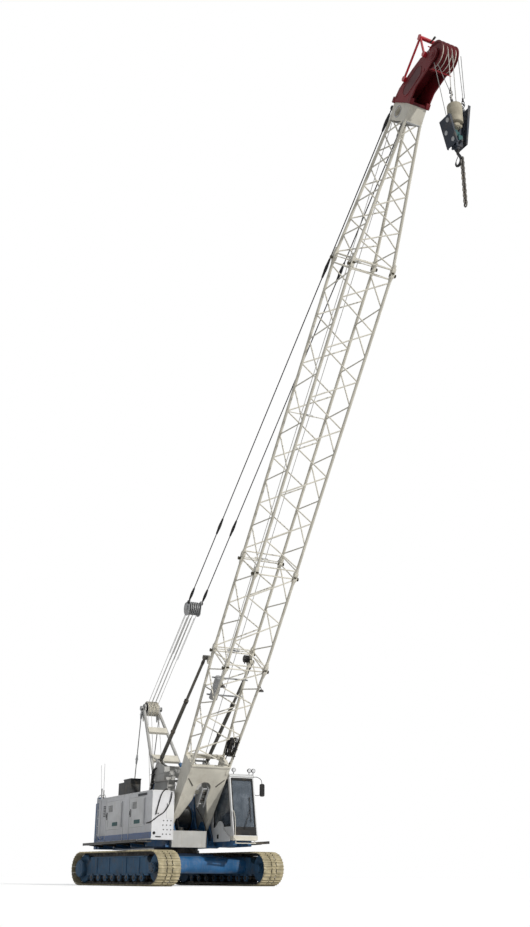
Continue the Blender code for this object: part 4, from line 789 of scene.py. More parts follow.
    def repeat(self, name: str, pattern: Form, spots: list[tuple[Place, Place]], body: Body, finish: Finish,
               place: Matrix | None = None, replaces: tuple[str, ...] = ()) -> bpy.types.Object:
        """Stand copies of a pattern on spots.

        Args:
            name: The piece's name.
            pattern: The form that repeats, drawn about the origin.
            spots: Each copy's (place, turn in radians about X, Y and Z).
            body: The body that they ride on.
            finish: Their surface.
            place: The turn and shift of the result into the row frame.
            replaces: The model's nodes that the piece stands for.

        Returns:
            The finished object.
        """
        model = stand(f"{name}_pattern", pattern.plain(f"{name}_pattern"))
        seedling = bpy.data.meshes.new(f"{name}_seed")
        seedling.from_pydata([Vector(spot) for spot, _ in spots], [], [])
        turns = seedling.attributes.new("turn", "FLOAT_VECTOR", "POINT")
        for value, (_, turn) in zip(turns.data, spots):
            value.vector = turn
        data = self.grow(name, seedling, self.copies, {"Pattern": model, "Material": finish.build()})
        bpy.data.objects.remove(model)
        if place:
            data.transform(place)
        return settle(name, data, body, finish, replaces)


@dataclass
class Group:
    """A group of pieces that share the Geometry Nodes trees."""

    grower: Grower

    def hoses(self, name: str, radius: float, rows: tuple[list[Place], ...], body: Body = Body.UPPER,
              place: Matrix = GROUND_PLACE, finish: Finish = RUBBER, steps: int = 6) -> None:
        """Make bent round lines, each smoothed through its row of knots."""
        lines = [smooth_path(row, steps) for row in rows]
        self.grower.bars(name, lines, radius, body, finish, 8, place)


def bolt_head(radius: float = 0.018, height: float = 0.014) -> Form:
    """Return a hexagon head on its washer, standing on the XY plane."""
    head = Form()
    head.lathe([(0.0, radius * 1.35), (0.003, radius * 1.35), (0.003, radius * 0.98)], axis=UPWARD, sides=12)
    head.lathe([(0.002, radius), (height - 0.002, radius), (height, radius * 0.82)], axis=UPWARD, sides=6)
    return head


def facing(x: float, y: float, z: float) -> tuple[float, float, float]:
    """Return the turn that points +Z along a direction."""
    return tuple(Vector((x, y, z)).to_track_quat("Z", "Y").to_euler())


@dataclass
class Stage:
    """The floor, the light and the camera."""

    camera_at: tuple[float, float, float] = (33.213, -14.063, -0.113)
    heading: float = math.atan2(14.063, -33.213) + math.radians(-4.418)
    pitch: float = math.radians(21.246)
    roll: float = math.radians(0.237)
    lens: float = 41.37
    sensor: float = 36.0
    sun_from: tuple[float, float, float] = (0.88, 0.26, 0.42)
    sun_strength: float = 2.45
    sky_strength: float = 0.27
    floor_glow: float = 0.45

    def build(self) -> None:
        """Make the floor, the world, the lamps and the camera."""
        scene = bpy.context.scene
        scene.view_settings.view_transform = "Standard"
        self.build_world(scene)
        self.build_floor()
        lamp = bpy.data.lights.new("key_light", "SUN")
        lamp.energy = self.sun_strength
        lamp.angle = math.radians(1.2)
        lamp.color = (1.0, 0.975, 0.93)
        key = stand("key_light", lamp)
        key.rotation_euler = Vector(self.sun_from).to_track_quat("Z", "Y").to_euler()
        self.build_camera(scene)

    def build_world(self, scene: bpy.types.Scene) -> None:
        """Light the object evenly and show a white background."""
        world = bpy.data.worlds.new("studio")
        world.use_nodes = True
        scene.world = world
        kit = NodeKit(world.node_tree)
        sky = kit.tree.nodes["Background"]
        rays = kit.add("ShaderNodeLightPath").outputs
        seen = kit.math("MAXIMUM", rays["Is Camera Ray"], rays["Is Transmission Ray"])
        seen = kit.math("MAXIMUM", seen, rays["Is Glossy Ray"])
        kit.link(kit.mix(seen, (0.93, 0.96, 1.0), (1.0, 1.0, 1.0)), sky.inputs["Color"])
        kit.link(kit.blend(seen, self.sky_strength, 1.0), sky.inputs["Strength"])

    def build_floor(self) -> None:
        """Lay the pale floor under the tracks."""
        reach = 240.0
        data = bpy.data.meshes.new("floor")
        corners = [(-reach, -reach), (reach, -reach), (reach, reach), (-reach, reach)]
        data.from_pydata([(x, y, GROUND - 0.0006) for x, y in corners], [], [(0, 1, 2, 3)])
        material = bpy.data.materials.new("floor")
        material.use_nodes = True
        kit = NodeKit(material.node_tree)
        shader = kit.tree.nodes["Principled BSDF"]
        place = kit.add("ShaderNodeTexCoord").outputs["Object"]
        tone = kit.mix(kit.noise(place, 0.8, 4.0, 0.5), (0.86, 0.86, 0.86), (0.90, 0.90, 0.90))
        kit.link(tone, shader.inputs["Base Color"])
        shader.inputs["Roughness"].default_value = 0.9
        shader.inputs["Emission Color"].default_value = (1.0, 1.0, 1.0, 1.0)
        seen = kit.add("ShaderNodeLightPath").outputs["Is Camera Ray"]
        kit.link(kit.scale(seen, self.floor_glow), shader.inputs["Emission Strength"])
        data.materials.append(material)
        stand("floor", data)

    def build_camera(self, scene: bpy.types.Scene) -> None:
        """Stand the camera where the photograph was taken from."""
        level = math.cos(self.pitch)
        ahead = Vector((math.cos(self.heading) * level, math.sin(self.heading) * level, math.sin(self.pitch)))
        right = ahead.cross(Vector((0, 0, 1))).normalized()
        above = right.cross(ahead)
        across = right * math.cos(self.roll) + above * math.sin(self.roll)
        over = above * math.cos(self.roll) - right * math.sin(self.roll)
        turn = Matrix((across, over, -ahead)).transposed().to_4x4()
        lens = bpy.data.cameras.new("camera")
        lens.lens = self.lens
        lens.sensor_width = self.sensor
        lens.clip_end = 500.0
        camera = stand("camera", lens)
        camera.matrix_world = Matrix.Translation(self.camera_at) @ turn
        scene.camera = camera


@dataclass
class Track(Group):
    """One track: its shoes, links, rollers, idler and drive wheel."""

    side: str
    sign: int
    wheel_x: float = 2.22
    wheel_z: float = 0.5
    centre_y: float = 1.875
    shoe_width: float = 0.75
    shoe_count: int = 56
    roller_pitch: float = 0.44

    def build(self) -> None:
        """Make the track's pieces."""
        self.build_shoes()
        self.build_chain()
        self.build_frame_trim()
        self.build_rollers()

    def spot(self, distance: float, inset: float) -> tuple[Vector, float]:
        """Return a place on the loop and the turn of its outward normal about Y."""
        straight = 2 * self.wheel_x
        arc = math.pi * self.wheel_z
        distance %= 2 * (straight + arc)
        radius = self.wheel_z - inset
        centre_y = self.sign * self.centre_y
        if distance < straight:
            return Vector((self.wheel_x - distance, centre_y, self.wheel_z + radius)), 0.0
        distance -= straight
        if distance < arc:
            turn = math.pi / 2 + distance / self.wheel_z
            return Vector((-self.wheel_x + radius * math.cos(turn), centre_y,
                           self.wheel_z + radius * math.sin(turn))), math.pi / 2 - turn
        distance -= arc
        if distance < straight:
            return Vector((-self.wheel_x + distance, centre_y, self.wheel_z - radius)), math.pi
        turn = -math.pi / 2 + (distance - straight) / self.wheel_z
        return Vector((self.wheel_x + radius * math.cos(turn), centre_y,
                       self.wheel_z + radius * math.sin(turn))), math.pi / 2 - turn

    def rollers(self) -> list[float]:
        """Return the eight lower rollers' places along the track."""
        return [(i - 3.5) * self.roller_pitch for i in range(8)]

    def on_arc(self, distance: float) -> bool:
        """Return whether a place lies round an end wheel."""
        straight = 2 * self.wheel_x
        half_loop = straight + math.pi * self.wheel_z
        return distance % half_loop > straight

    def ring(self) -> list[tuple[Vector, tuple[float, float, float]]]:
        """Return a spot for each shoe, on the outer line."""
        pitch = (4 * self.wheel_x + FULL_TURN * self.wheel_z) / self.shoe_count
        spots = []
        for i in range(self.shoe_count):
            distance = (i + 0.5) * pitch
            sagitta = self.wheel_z - math.sqrt(self.wheel_z ** 2 - (pitch / 2) ** 2)
            point, turn = self.spot(distance, sagitta if self.on_arc(distance) else 0.0)
            spots.append((point, (0.0, turn, 0.0)))
        return spots

    def build_shoes(self) -> None:
        """Make the cast shoes, each with two low bars, cut corners and bolts."""
        half = self.shoe_width / 2
        shoe = Form()
        plate = [(-0.098, -0.046), (0.084, -0.046), (0.093, -0.042), (0.093, -0.036), (0.084, -0.031),
                 (0.058, -0.030), (0.052, -0.002), (0.030, -0.002), (0.024, -0.030), (-0.030, -0.031),
                 (-0.036, -0.002), (-0.060, 0.0), (-0.066, -0.030), (-0.090, -0.032), (-0.098, -0.036)]
        gap, slot = 0.034, 0.092
        for low, high in ((-half + 0.012, -0.15), (0.15, half - 0.012)):
            shoe.prism(plate, low, high)
        low_bar = [(u, min(v, -0.012)) for u, v in plate]
        shoe.prism(low_bar, -half, -half + 0.0125)
        shoe.prism(low_bar, half - 0.0125, half)
        for low, high in ((-0.1505, -slot - gap / 2), (-slot + gap / 2, slot - gap / 2),
                          (slot + gap / 2, 0.1505)):
            shoe.prism(plate, low, high)
        rib = [(-0.012, -0.044), (0.020, -0.044), (0.020, -0.028), (-0.012, -0.028)]
        for middle in (-slot, slot):
            shoe.prism(rib, middle - gap / 2 - 0.001, middle + gap / 2 + 0.001)
        for x in (-0.046, 0.046):
            for y in (-0.060, 0.060):
                shoe.lathe([(-0.034, 0.014), (-0.022, 0.014), (-0.019, 0.010)], (x * 0.2, y, 0), UPWARD, 6)
        self.grower.repeat(f"track_{self.side}_shoes", shoe, self.ring(), Body.UNDERCARRIAGE, DUSTY,
                           UNDER_PLACE, (f"track_{self.side}",))

    def build_chain(self) -> None:
        """Make the link pairs and pins under the shoes."""
        link = Form()
        outline = [(-0.118, -0.118), (-0.085, -0.122), (0.085, -0.122), (0.118, -0.118), (0.112, -0.075),
                   (0.075, -0.047), (-0.085, -0.047), (-0.112, -0.070)]
        for sign in SIDES:
            link.prism(outline, sign * 0.088 - 0.018, sign * 0.088 + 0.018)
        link.rod((0.107, -0.118, -0.092), (0.107, 0.118, -0.092), 0.020, 8)
        self.grower.repeat(f"track_{self.side}_links", link, self.ring(), Body.UNDERCARRIAGE, DARK,
                           UNDER_PLACE)

    def build_rollers(self) -> None:
        """Make the lower rollers' rims and end caps."""
        roller = Form()
        outer = [(0.050, 0.134), (0.055, 0.1165), (0.120, 0.1165), (0.125, 0.1345), (0.150, 0.1345),
                 (0.165, 0.114), (0.215, 0.100), (0.225, 0.078), (0.245, 0.075), (0.25, 0.060)]
        roller.lathe(mirrored(outer), sides=20)
        for sign in SIDES:
            roller.lathe([(0.0, 0.062), (0.016, 0.058), (0.022, 0.040)], (0, sign * 0.248, 0),
                         (0, sign, 0), 12)
        z = 0.06 + 0.06 + 0.1165
        spots = [((x, self.sign * self.centre_y, z), (0, 0, 0)) for x in self.rollers()]
        self.grower.repeat(f"track_{self.side}_rollers", roller, spots, Body.UNDERCARRIAGE, DARK, UNDER_PLACE)

    def build_frame_trim(self) -> None:
        """Make the side frame's ribs, covers, idler rim and drive hub."""
        form = Form(UNDER_PLACE)
        face = self.sign * (self.centre_y + 0.20)
        out = self.sign * 0.012
        for x in (-1.30, -0.52, 0.52, 1.30):
            form.box(about(x, 0.035), span(face - out, face + out * 2), (0.34, 0.80), 0.008)
        for half, rise, z, edge in ((1.88, 3.2, (0.295, 0.345), 0.010), (1.62, 2.6, (0.80, 0.835), 0.008)):
            form.box(about(0, half), span(face - out, face + out * rise), z, edge)
        form.done(f"track_{self.side}_ribs", Body.UNDERCARRIAGE, BLUE_DUSTY, bevel=0.003)
        hub = Form(UNDER_PLACE)
        y = self.sign * (self.centre_y + 0.30)
        for x, radius in ((-self.wheel_x, 0.26), (self.wheel_x, 0.15)):
            hub.lathe([(-0.05, radius), (0.020, radius), (0.034, radius - 0.02), (0.040, radius * 0.62),
                       (0.058, radius * 0.58), (0.064, radius * 0.45)], (x, y, self.wheel_z),
                      (0, self.sign, 0), 28)
        hub.done(f"track_{self.side}_hubs", Body.UNDERCARRIAGE, BLUE_DUSTY, bevel=0.003)
        studs = []
        for x, radius, count in ((-self.wheel_x, 0.215, 16), (self.wheel_x, 0.110, 8)):
            for u, v in circle(radius, count):
                studs.append(((x + u, y + self.sign * 0.036, self.wheel_z + v), facing(0, self.sign, 0)))
        for x, step in product(self.rollers(), (-0.09, 0.09)):
            studs.append(((x + step, face + out * 3.2, 0.320), facing(0, self.sign, 0)))
        self.grower.repeat(f"track_{self.side}_bolts", bolt_head(0.015, 0.012), studs, Body.UNDERCARRIAGE,
                           DARK, UNDER_PLACE)
        sprocket = Form()
        teeth = []
        count = 15
        for i in range(count):
            middle = FULL_TURN * i / count
            for step, radius in ((-0.115, 0.335), (-0.055, 0.378), (0.055, 0.378), (0.115, 0.335)):
                teeth.append((radius * math.cos(middle + step), radius * math.sin(middle + step)))
        sprocket.prism(teeth, -0.045, 0.045)
        self.grower.repeat(f"track_{self.side}_teeth", sprocket,
                           [((-self.wheel_x, self.sign * self.centre_y, self.wheel_z), (0, 0, 0))],
                           Body.UNDERCARRIAGE, DARK, UNDER_PLACE)


def foot_depth(s: float) -> float:
    """Return half the boom's depth at a place along its flared foot section."""
    return BOOM_FOOT_HALF_DEPTH + BOOM_FLARE * s / BOOM_JOINTS[0]


@dataclass
class Boom(Group):
    """The lattice boom's round members, joints, ropes and lines."""

    chord: float = 0.0425
    lacing: float = 0.0192
    base_plate: float = 2.40

    def build(self) -> None:
        """Make the boom's pieces."""
        full = (BOOM_HALF_WIDTH, BOOM_HALF_DEPTH)
        foot = (2.30, BOOM_HALF_WIDTH - 0.005, foot_depth(self.base_plate) - 0.03)
        first, second, third = ((joint, *full) for joint in BOOM_JOINTS)
        self.build_section("base", foot, first, 6)
        self.build_section("insert_short", first, second, 4)
        self.build_section("insert_long", second, third, 12)
        self.build_section("top", third, (22.15, 0.216, 0.404, 0.15), 8)
        self.build_joints()

    @staticmethod
    def corners(s: float, half_width: float, half_depth: float, middle: float = 0.0) -> list[Vector]:
        """Return the four chord centres at one place along the boom."""
        return [Vector((s, y * half_width, middle + z * half_depth))
                for y, z in ((-1, -1), (1, -1), (1, 1), (-1, 1))]

    def build_section(self, name: str, start: tuple[float, ...], end: tuple[float, ...], bays: int) -> None:
        """Make one section's chords and lacing.

        Args:
            name: The section's name.
            start: Its lower end as (place along the boom, half width, half depth, middle).
            end: Its upper end, the same way.
            bays: The number of lacing bars on a face.
        """
        first, last = self.corners(*start), self.corners(*end)
        inset = 0.006 / (last[0] - first[0]).length
        chords = [[a.lerp(b, inset), b.lerp(a, inset)] for a, b in zip(first, last)]
        lacing = []
        for corner in range(4):
            near, far = corner, (corner + 1) % 4
            for bay in range(bays):
                low, high = 0.03 + 0.94 * bay / bays, 0.03 + 0.94 * (bay + 1) / bays
                if bay % 2 == 0:
                    low, high = high, low
                lacing.append([first[near].lerp(last[near], low), first[far].lerp(last[far], high)])
            for share in (0.02, 0.98):
                lacing.append([first[near].lerp(last[near], share), first[far].lerp(last[far], share)])
        replaced = (f"boom_{name}",) if name.startswith("insert") else ()
        bars = (("chords", chords, self.chord, 16), ("lacing", lacing, self.lacing, 10))
        for label, lines, radius, sides in bars:
            self.grower.bars(f"boom_{name}_{label}", lines, radius, Body.BOOM, CREAM, sides, BOOM_PLACE,
                             replaced)

    def build_joints(self) -> None:
        """Make the sections' pinned ends, their keepers and the dark joint pins."""
        eyes, pins = forms(2, BOOM_PLACE)
        reach = 0.135
        for joint, y, z in product(BOOM_JOINTS, SIDES, SIDES):
            across, height, x = y * BOOM_HALF_WIDTH, z * BOOM_HALF_DEPTH, joint - 0.065
            for sign in SIDES:
                eyes.box(span(joint + sign * 0.002, joint + sign * reach), about(across, 0.055),
                         about(height, 0.063), 0.018)
                eyes.rod((joint + sign * reach, across, height),
                         (joint + sign * (reach + 0.10), across, height), 0.058, 16, 0.048)
            for near, far, radius in ((-0.060, 0.115, 0.034), (0.100, 0.118, 0.052)):
                pins.rod((x, across + y * near, height), (x, across + y * far, height), radius, 14)
            pins.box(about(joint, 0.02), pair(y, 0.58, 0.66), span(height + z * 0.058, height + z * 0.080),
                     0.006)
            pins.rod((x, across + y * 0.10, height - 0.045), (x, across + y * 0.10, height + 0.045), 0.007, 8)
        eyes.done("boom_joint_eyes", Body.BOOM, CREAM, bevel=0.003)
        pins.done("boom_joint_pins", Body.BOOM, OLIVE)


def stay_place() -> tuple[Matrix, float]:
    """Return the stay line's frame, x from the gantry head to the tip's lugs, and its length."""
    reach = BOOM_PLACE @ TIP_ANCHOR - GANTRY_HEAD
    turn = Matrix.Rotation(-math.atan2(reach.z, reach.x), 4, "Y")
    return Matrix.Translation(GANTRY_HEAD) @ turn, reach.length


@dataclass
class Stays(Group):
    """The luffing falls, the bridle and the two pendant lines."""

    count: int = 6
    offset: float = 0.17
    bridle_x: float = 4.5
    reach: float = 4.23
    bridle_reach: float = 2.10
    joints: tuple[float, ...] = (4.75, 13.85)
    groove: float = 0.232
    disc: float = 0.222
    pendant_y: float = 0.2428

    def build(self) -> None:
        """Make the stays' pieces."""
        place, length = stay_place()
        self.build_gantry_sheaves(place)
        self.build_bridle(place)
        self.build_pendants(place, length)

    def comb(self, count: int) -> list[Point]:
        """Return the (y, z) of each rope part of a comb."""
        return [((i - (count - 1) / 2) * FALL_PITCH, self.offset if i % 2 else -self.offset)
                for i in range(count)]

    def build_gantry_sheaves(self, place: Matrix) -> None:
        """Make the gantry head's grooved sheaves and its rope parts."""
        discs, rims = forms(2, place)
        for y, _ in self.comb(self.count):
            for half, inner, outer, sides in ((0.010, 0.045, self.disc, 36), (0.030, 0.040, 0.075, 20)):
                discs.lathe([(-half, inner), (-half, outer), (half, outer), (half, inner)], (0, y, 0),
                            sides=sides, closed=True)
            rims.lathe([(-0.022, 0.212), (-0.026, 0.250), (-0.016, 0.253), (-0.004, 0.224), (0.004, 0.224),
                        (0.016, 0.253), (0.026, 0.250), (0.022, 0.212)], (0, y, 0), sides=44, closed=True)
        discs.done("gantry_sheave_discs", Body.LUFFING, DARK, ("gantry_sheaves",))
        rims.done("gantry_sheave_rims", Body.LUFFING, CREAM, ("gantry_sheaves",))
        lines = []
        for y, z in self.comb(self.count):
            turn = math.copysign(1.0, z)
            start = math.asin(self.offset / self.groove)
            wrap = [Vector((self.groove * math.cos(start + a), y, turn * self.groove * math.sin(start + a)))
                    for a in (i * 0.17 for i in range(12))]
            lines.append([Vector((self.reach, y, z)), *wrap])
        self.grower.bars("luffing_falls_lower", lines, WIRE, Body.LUFFING, PALE_ROPE, 8, place,
                         ("gantry_sheaves",))

    def build_bridle(self, place: Matrix) -> None:
        """Make the floating sheave block and its rope parts."""
        block = Form(place)
        x = self.bridle_x
        for y, _ in self.comb(self.count - 1):
            block.lathe([(-0.011, 0.06), (-0.011, 0.22), (0.011, 0.22), (0.011, 0.06)], (x, y, 0), sides=32,
                        closed=True)
        half = self.count * FALL_PITCH / 2
        outline = circle(0.26, 20, (x, 0), 90, 180) + circle(0.08, 8, (x + 0.24, 0), -90, 180)
        for sign in SIDES:
            block.prism(outline, *pair(sign, half, half + 0.022))
            block.lathe([(0.0, 0.09), (0.018, 0.09), (0.024, 0.07)], (x, sign * (half + 0.022), 0),
                        (0, sign, 0), 18)
        block.rod((x, -half, 0.214), (x, half, 0.214), 0.028, 12)
        block.done("bridle_block", Body.BOOM, GREY, ("bridle",), bevel=0.003)
        lines = [[Vector((x + 0.05, y, z)), Vector((x - self.bridle_reach, y, z))]
                 for y, z in self.comb(self.count - 1)]
        self.grower.bars("luffing_falls_upper", lines, WIRE, Body.BOOM, PALE_ROPE, 8, place, ("bridle",))

    def build_pendants(self, place: Matrix, length: float) -> None:
        """Make the pendant ropes with their sockets, links and pins."""
        ropes, sockets = [], Form(place)
        start = self.bridle_x + 0.24
        for sign in SIDES:
            y = sign * self.pendant_y
            ropes.append([(start, y, 0), (length, y, 0)])
            spots = [(start + 0.34, 0.26), (length - 0.42, 0.26)]
            spots += [(length - joint, 0.32) for joint in self.joints]
            for x, half in spots:
                cone = [(0.06, 0.046), (0.11, 0.040), (half * 0.86, 0.031), (half, 0.019)]
                sockets.lathe(mirrored(cone), (x, y, 0), FORWARD, 16)
                sockets.box(about(x, 0.09), pair(sign, 0.222, 0.264), (-0.060, 0.060), 0.02)
                for step in (-0.055, 0.055):
                    sockets.rod((x + step, y - 0.034, 0), (x + step, y + 0.034, 0), 0.019, 12)
            for x in (start, length):
                sockets.lathe([(-0.0225, 0.03), (-0.0225, 0.062), (0.0225, 0.062), (0.0225, 0.03)], (x, y, 0),
                              sides=20, closed=True)
                sockets.rod((x, y - 0.04, 0), (x, y + 0.03, 0), 0.029, 12)
        self.grower.bars("pendant_ropes", ropes, 0.0165, Body.BOOM, BLACK, 10, place,
                         ("pendant_right", "pendant_left"))
        sockets.done("pendant_sockets", Body.BOOM, BLACK, ("pendant_right", "pendant_left"), bevel=0.002)


@dataclass
class Superstructure(Group):
    """The gantry, the tower behind the boom and the backstops."""

    head: Point = (-2.65, 5.80)
    foot: Point = (-0.43, 2.98)
    backstop: Point = (0.37, 3.70)
    backstop_turn: float = math.radians(40.03)
    backstop_y: float = 0.80
    head_y: float = 0.278
    foot_y: float = 0.6057
    cap_y: float = 0.384
    tie_y: float = 0.343
    tie_foot: Point = (-3.24, 2.95)
    tower_y: float = 0.892

    def build(self) -> None:
        """Make the trim of the A-frame, tower and backstops."""
        self.build_gantry()
        self.build_tower()
        self.build_backstops()

    def build_gantry(self) -> None:
        """Make the cross plates, bosses, guards and tie sockets."""
        form, plates = forms(2, GROUND_PLACE)
        (hx, hz), (fx, fz) = self.head, self.foot
        along = Vector((fx - hx, fz - hz)).normalized()
        side = Vector((-along.y, along.x))
        for share, tall in ((0.30, 0.11), (0.66, 0.13)):
            middle = Vector((hx + (fx - hx) * share, hz + (fz - hz) * share))
            half = 0.263 + 0.343 * share - 0.02
            sheets = [(about(0, tall), (0.052, 0.066))]
            sheets += [(about(a, 0.008), (-0.03, 0.066)) for a in (-tall, tall)]
            for (near, far), (low, high) in sheets:
                corners = ((near, low), (far, low), (far, high), (near, high))
                plates.prism([tuple(middle + along * a + side * b) for a, b in corners], -half, half)
        for sign in SIDES:
            form.lathe([(0.0, 0.085), (0.02, 0.085), (0.028, 0.06), (0.05, 0.06), (0.055, 0.045)],
                       (hx, sign * self.head_y, hz), (0, sign, 0), 20)
            form.lathe([(0.0, 0.085), (0.014, 0.08), (0.014, 0.045)], (hx, sign * self.cap_y, hz),
                       (0, sign, 0), 20)
            form.lathe([(-0.064, 0.07), (-0.064, 0.115), (0.064, 0.115), (0.064, 0.07)],
                       (fx, sign * self.foot_y, fz), sides=24, closed=True)
            form.rod((hx - 0.20, sign * 0.20, hz - 0.13), (hx - 0.20, sign * 0.29, hz - 0.13), 0.022, 10)
            start = Vector((hx, sign * self.tie_y, hz))
            end = Vector((self.tie_foot[0], sign * 0.30, self.tie_foot[1]))
            for share in (0.075, 0.60, 0.965):
                middle = start.lerp(end, share)
                form.lathe(mirrored([(0.03, 0.038), (0.13, 0.032), (0.17, 0.020)]), middle, end - start, 14)
                form.rod(middle - Vector((0, 0.05, 0)), middle + Vector((0, 0.05, 0)), 0.020, 10)
        form.rod((hx - 0.20, -0.29, hz - 0.20), (hx - 0.20, 0.29, hz - 0.20), 0.016, 10)
        form.done("gantry_bosses", Body.UPPER, GREY, bevel=0.002)
        plates.done("gantry_cross_plates", Body.UPPER, CREAM, bevel=0.002)

    def build_tower(self) -> None:
        """Make the tower's bosses, flanges, lugs and pipes."""
        form, blue = forms(2, GROUND_PLACE)
        x, z = self.backstop
        for sign in SIDES:
            form.lathe([(0.0, 0.075), (0.018, 0.075), (0.024, 0.055)], (x, sign * self.tower_y, z),
                       (0, sign, 0), 20)
            form.box((0.95, 0.965), pair(sign, 0.705, 0.885), (3.06, 3.50))
            form.box((0.06, 0.90), pair(sign, 0.882, 0.894), (3.30, 3.34))
            form.lathe([(0.0, 0.10), (0.016, 0.10), (0.024, 0.08), (0.024, 0.05), (0.010, 0.045)],
                       (0.562, sign * 0.52, 3.24), FORWARD, 24)
        form.box((0.56, 0.574), (-0.70, 0.70), (3.515, 3.56))
        for sign in SIDES:
            form.box((0.56, 0.574), pair(sign, 0.34, 0.36), (2.80, 3.20))
        form.done("tower_flanges", Body.UPPER, TOWER, bevel=0.003)
        for sign in SIDES:
            blue.box((0.52, 0.60), pair(sign, 0.12, 0.20), (3.54, 3.68), 0.02)
            blue.rod((0.56, sign * 0.10, 3.63), (0.56, sign * 0.22, 3.63), 0.030, 14)
        blue.done("tower_blue_lugs", Body.UPPER, BLUE, bevel=0.003)
        pipes = []
        for i in range(4):
            x, y = 0.02 + 0.055 * i, -0.905 - 0.035 * (i % 2)
            pipes.append([(x - 0.30, -0.95, 2.74), (x - 0.05, y, 2.90), (x, y, 3.20), (x + 0.03, y, 3.42),
                          (x + 0.20, y + 0.02, 3.50)])
        self.hoses("tower_hoses", 0.014, pipes)
        ropes = [[(-2.44, y, 5.70), (-1.603, y * 1.3, 1.952)] for y in (-0.20, -0.07, 0.20)]
        ropes += [[(-0.469, y, 2.204), (0.54, y, 3.57), (0.64, y, 3.60)] for y in (-0.14, 0.14)]
        self.grower.bars("winch_lines", ropes, WIRE, Body.UPPER, PALE_ROPE, 8, GROUND_PLACE)
        clamps = Form(GROUND_PLACE)
        for z in (3.02, 3.30):
            clamps.box((-0.02, 0.24), (-0.965, -0.885), (z, z + 0.022))
        for z in (2.86, 2.98, 3.10):
            clamps.lathe([(0.0, 0.042), (0.05, 0.042), (0.06, 0.03), (0.10, 0.03)], (-0.30, -0.80, z - 0.10),
                         (0.3, 0, 1), 12)
        clamps.done("tower_clamps", Body.UPPER, DARK)

    def build_backstops(self) -> None:
        """Make the backstops' collars, clamps and end eyes."""
        x, z = self.backstop
        place = Matrix.Translation(up(x, 0, z)) @ Matrix.Rotation(-self.backstop_turn, 4, "Y")
        tubes, rods = forms(2, place)
        for sign in SIDES:
            y = sign * self.backstop_y
            for x, width in ((0.20, 0.05), (1.25, 0.06), (2.50, 0.11)):
                ring = [(0.0, 0.056), (0.0, 0.062), (0.006, 0.073)]
                tubes.lathe(ring + [(width - u, radius) for u, radius in ring[::-1]], (x, y, 0), FORWARD, 20,
                            closed=True)
            for step in (-0.045, 0.045):
                tubes.rod((1.28, y + step, 0.05), (1.28, y + step, 0.085), 0.010, 6)
            rods.lathe([(-0.05, 0.038), (-0.06, 0.052), (0.04, 0.052), (0.05, 0.038)], (4.14, y, 0),
                       FORWARD, 16)
        tubes.done("backstop_collars", Body.TUBES, DARK, bevel=0.002)
        rods.done("backstop_rod_collars", Body.RODS, DARK)


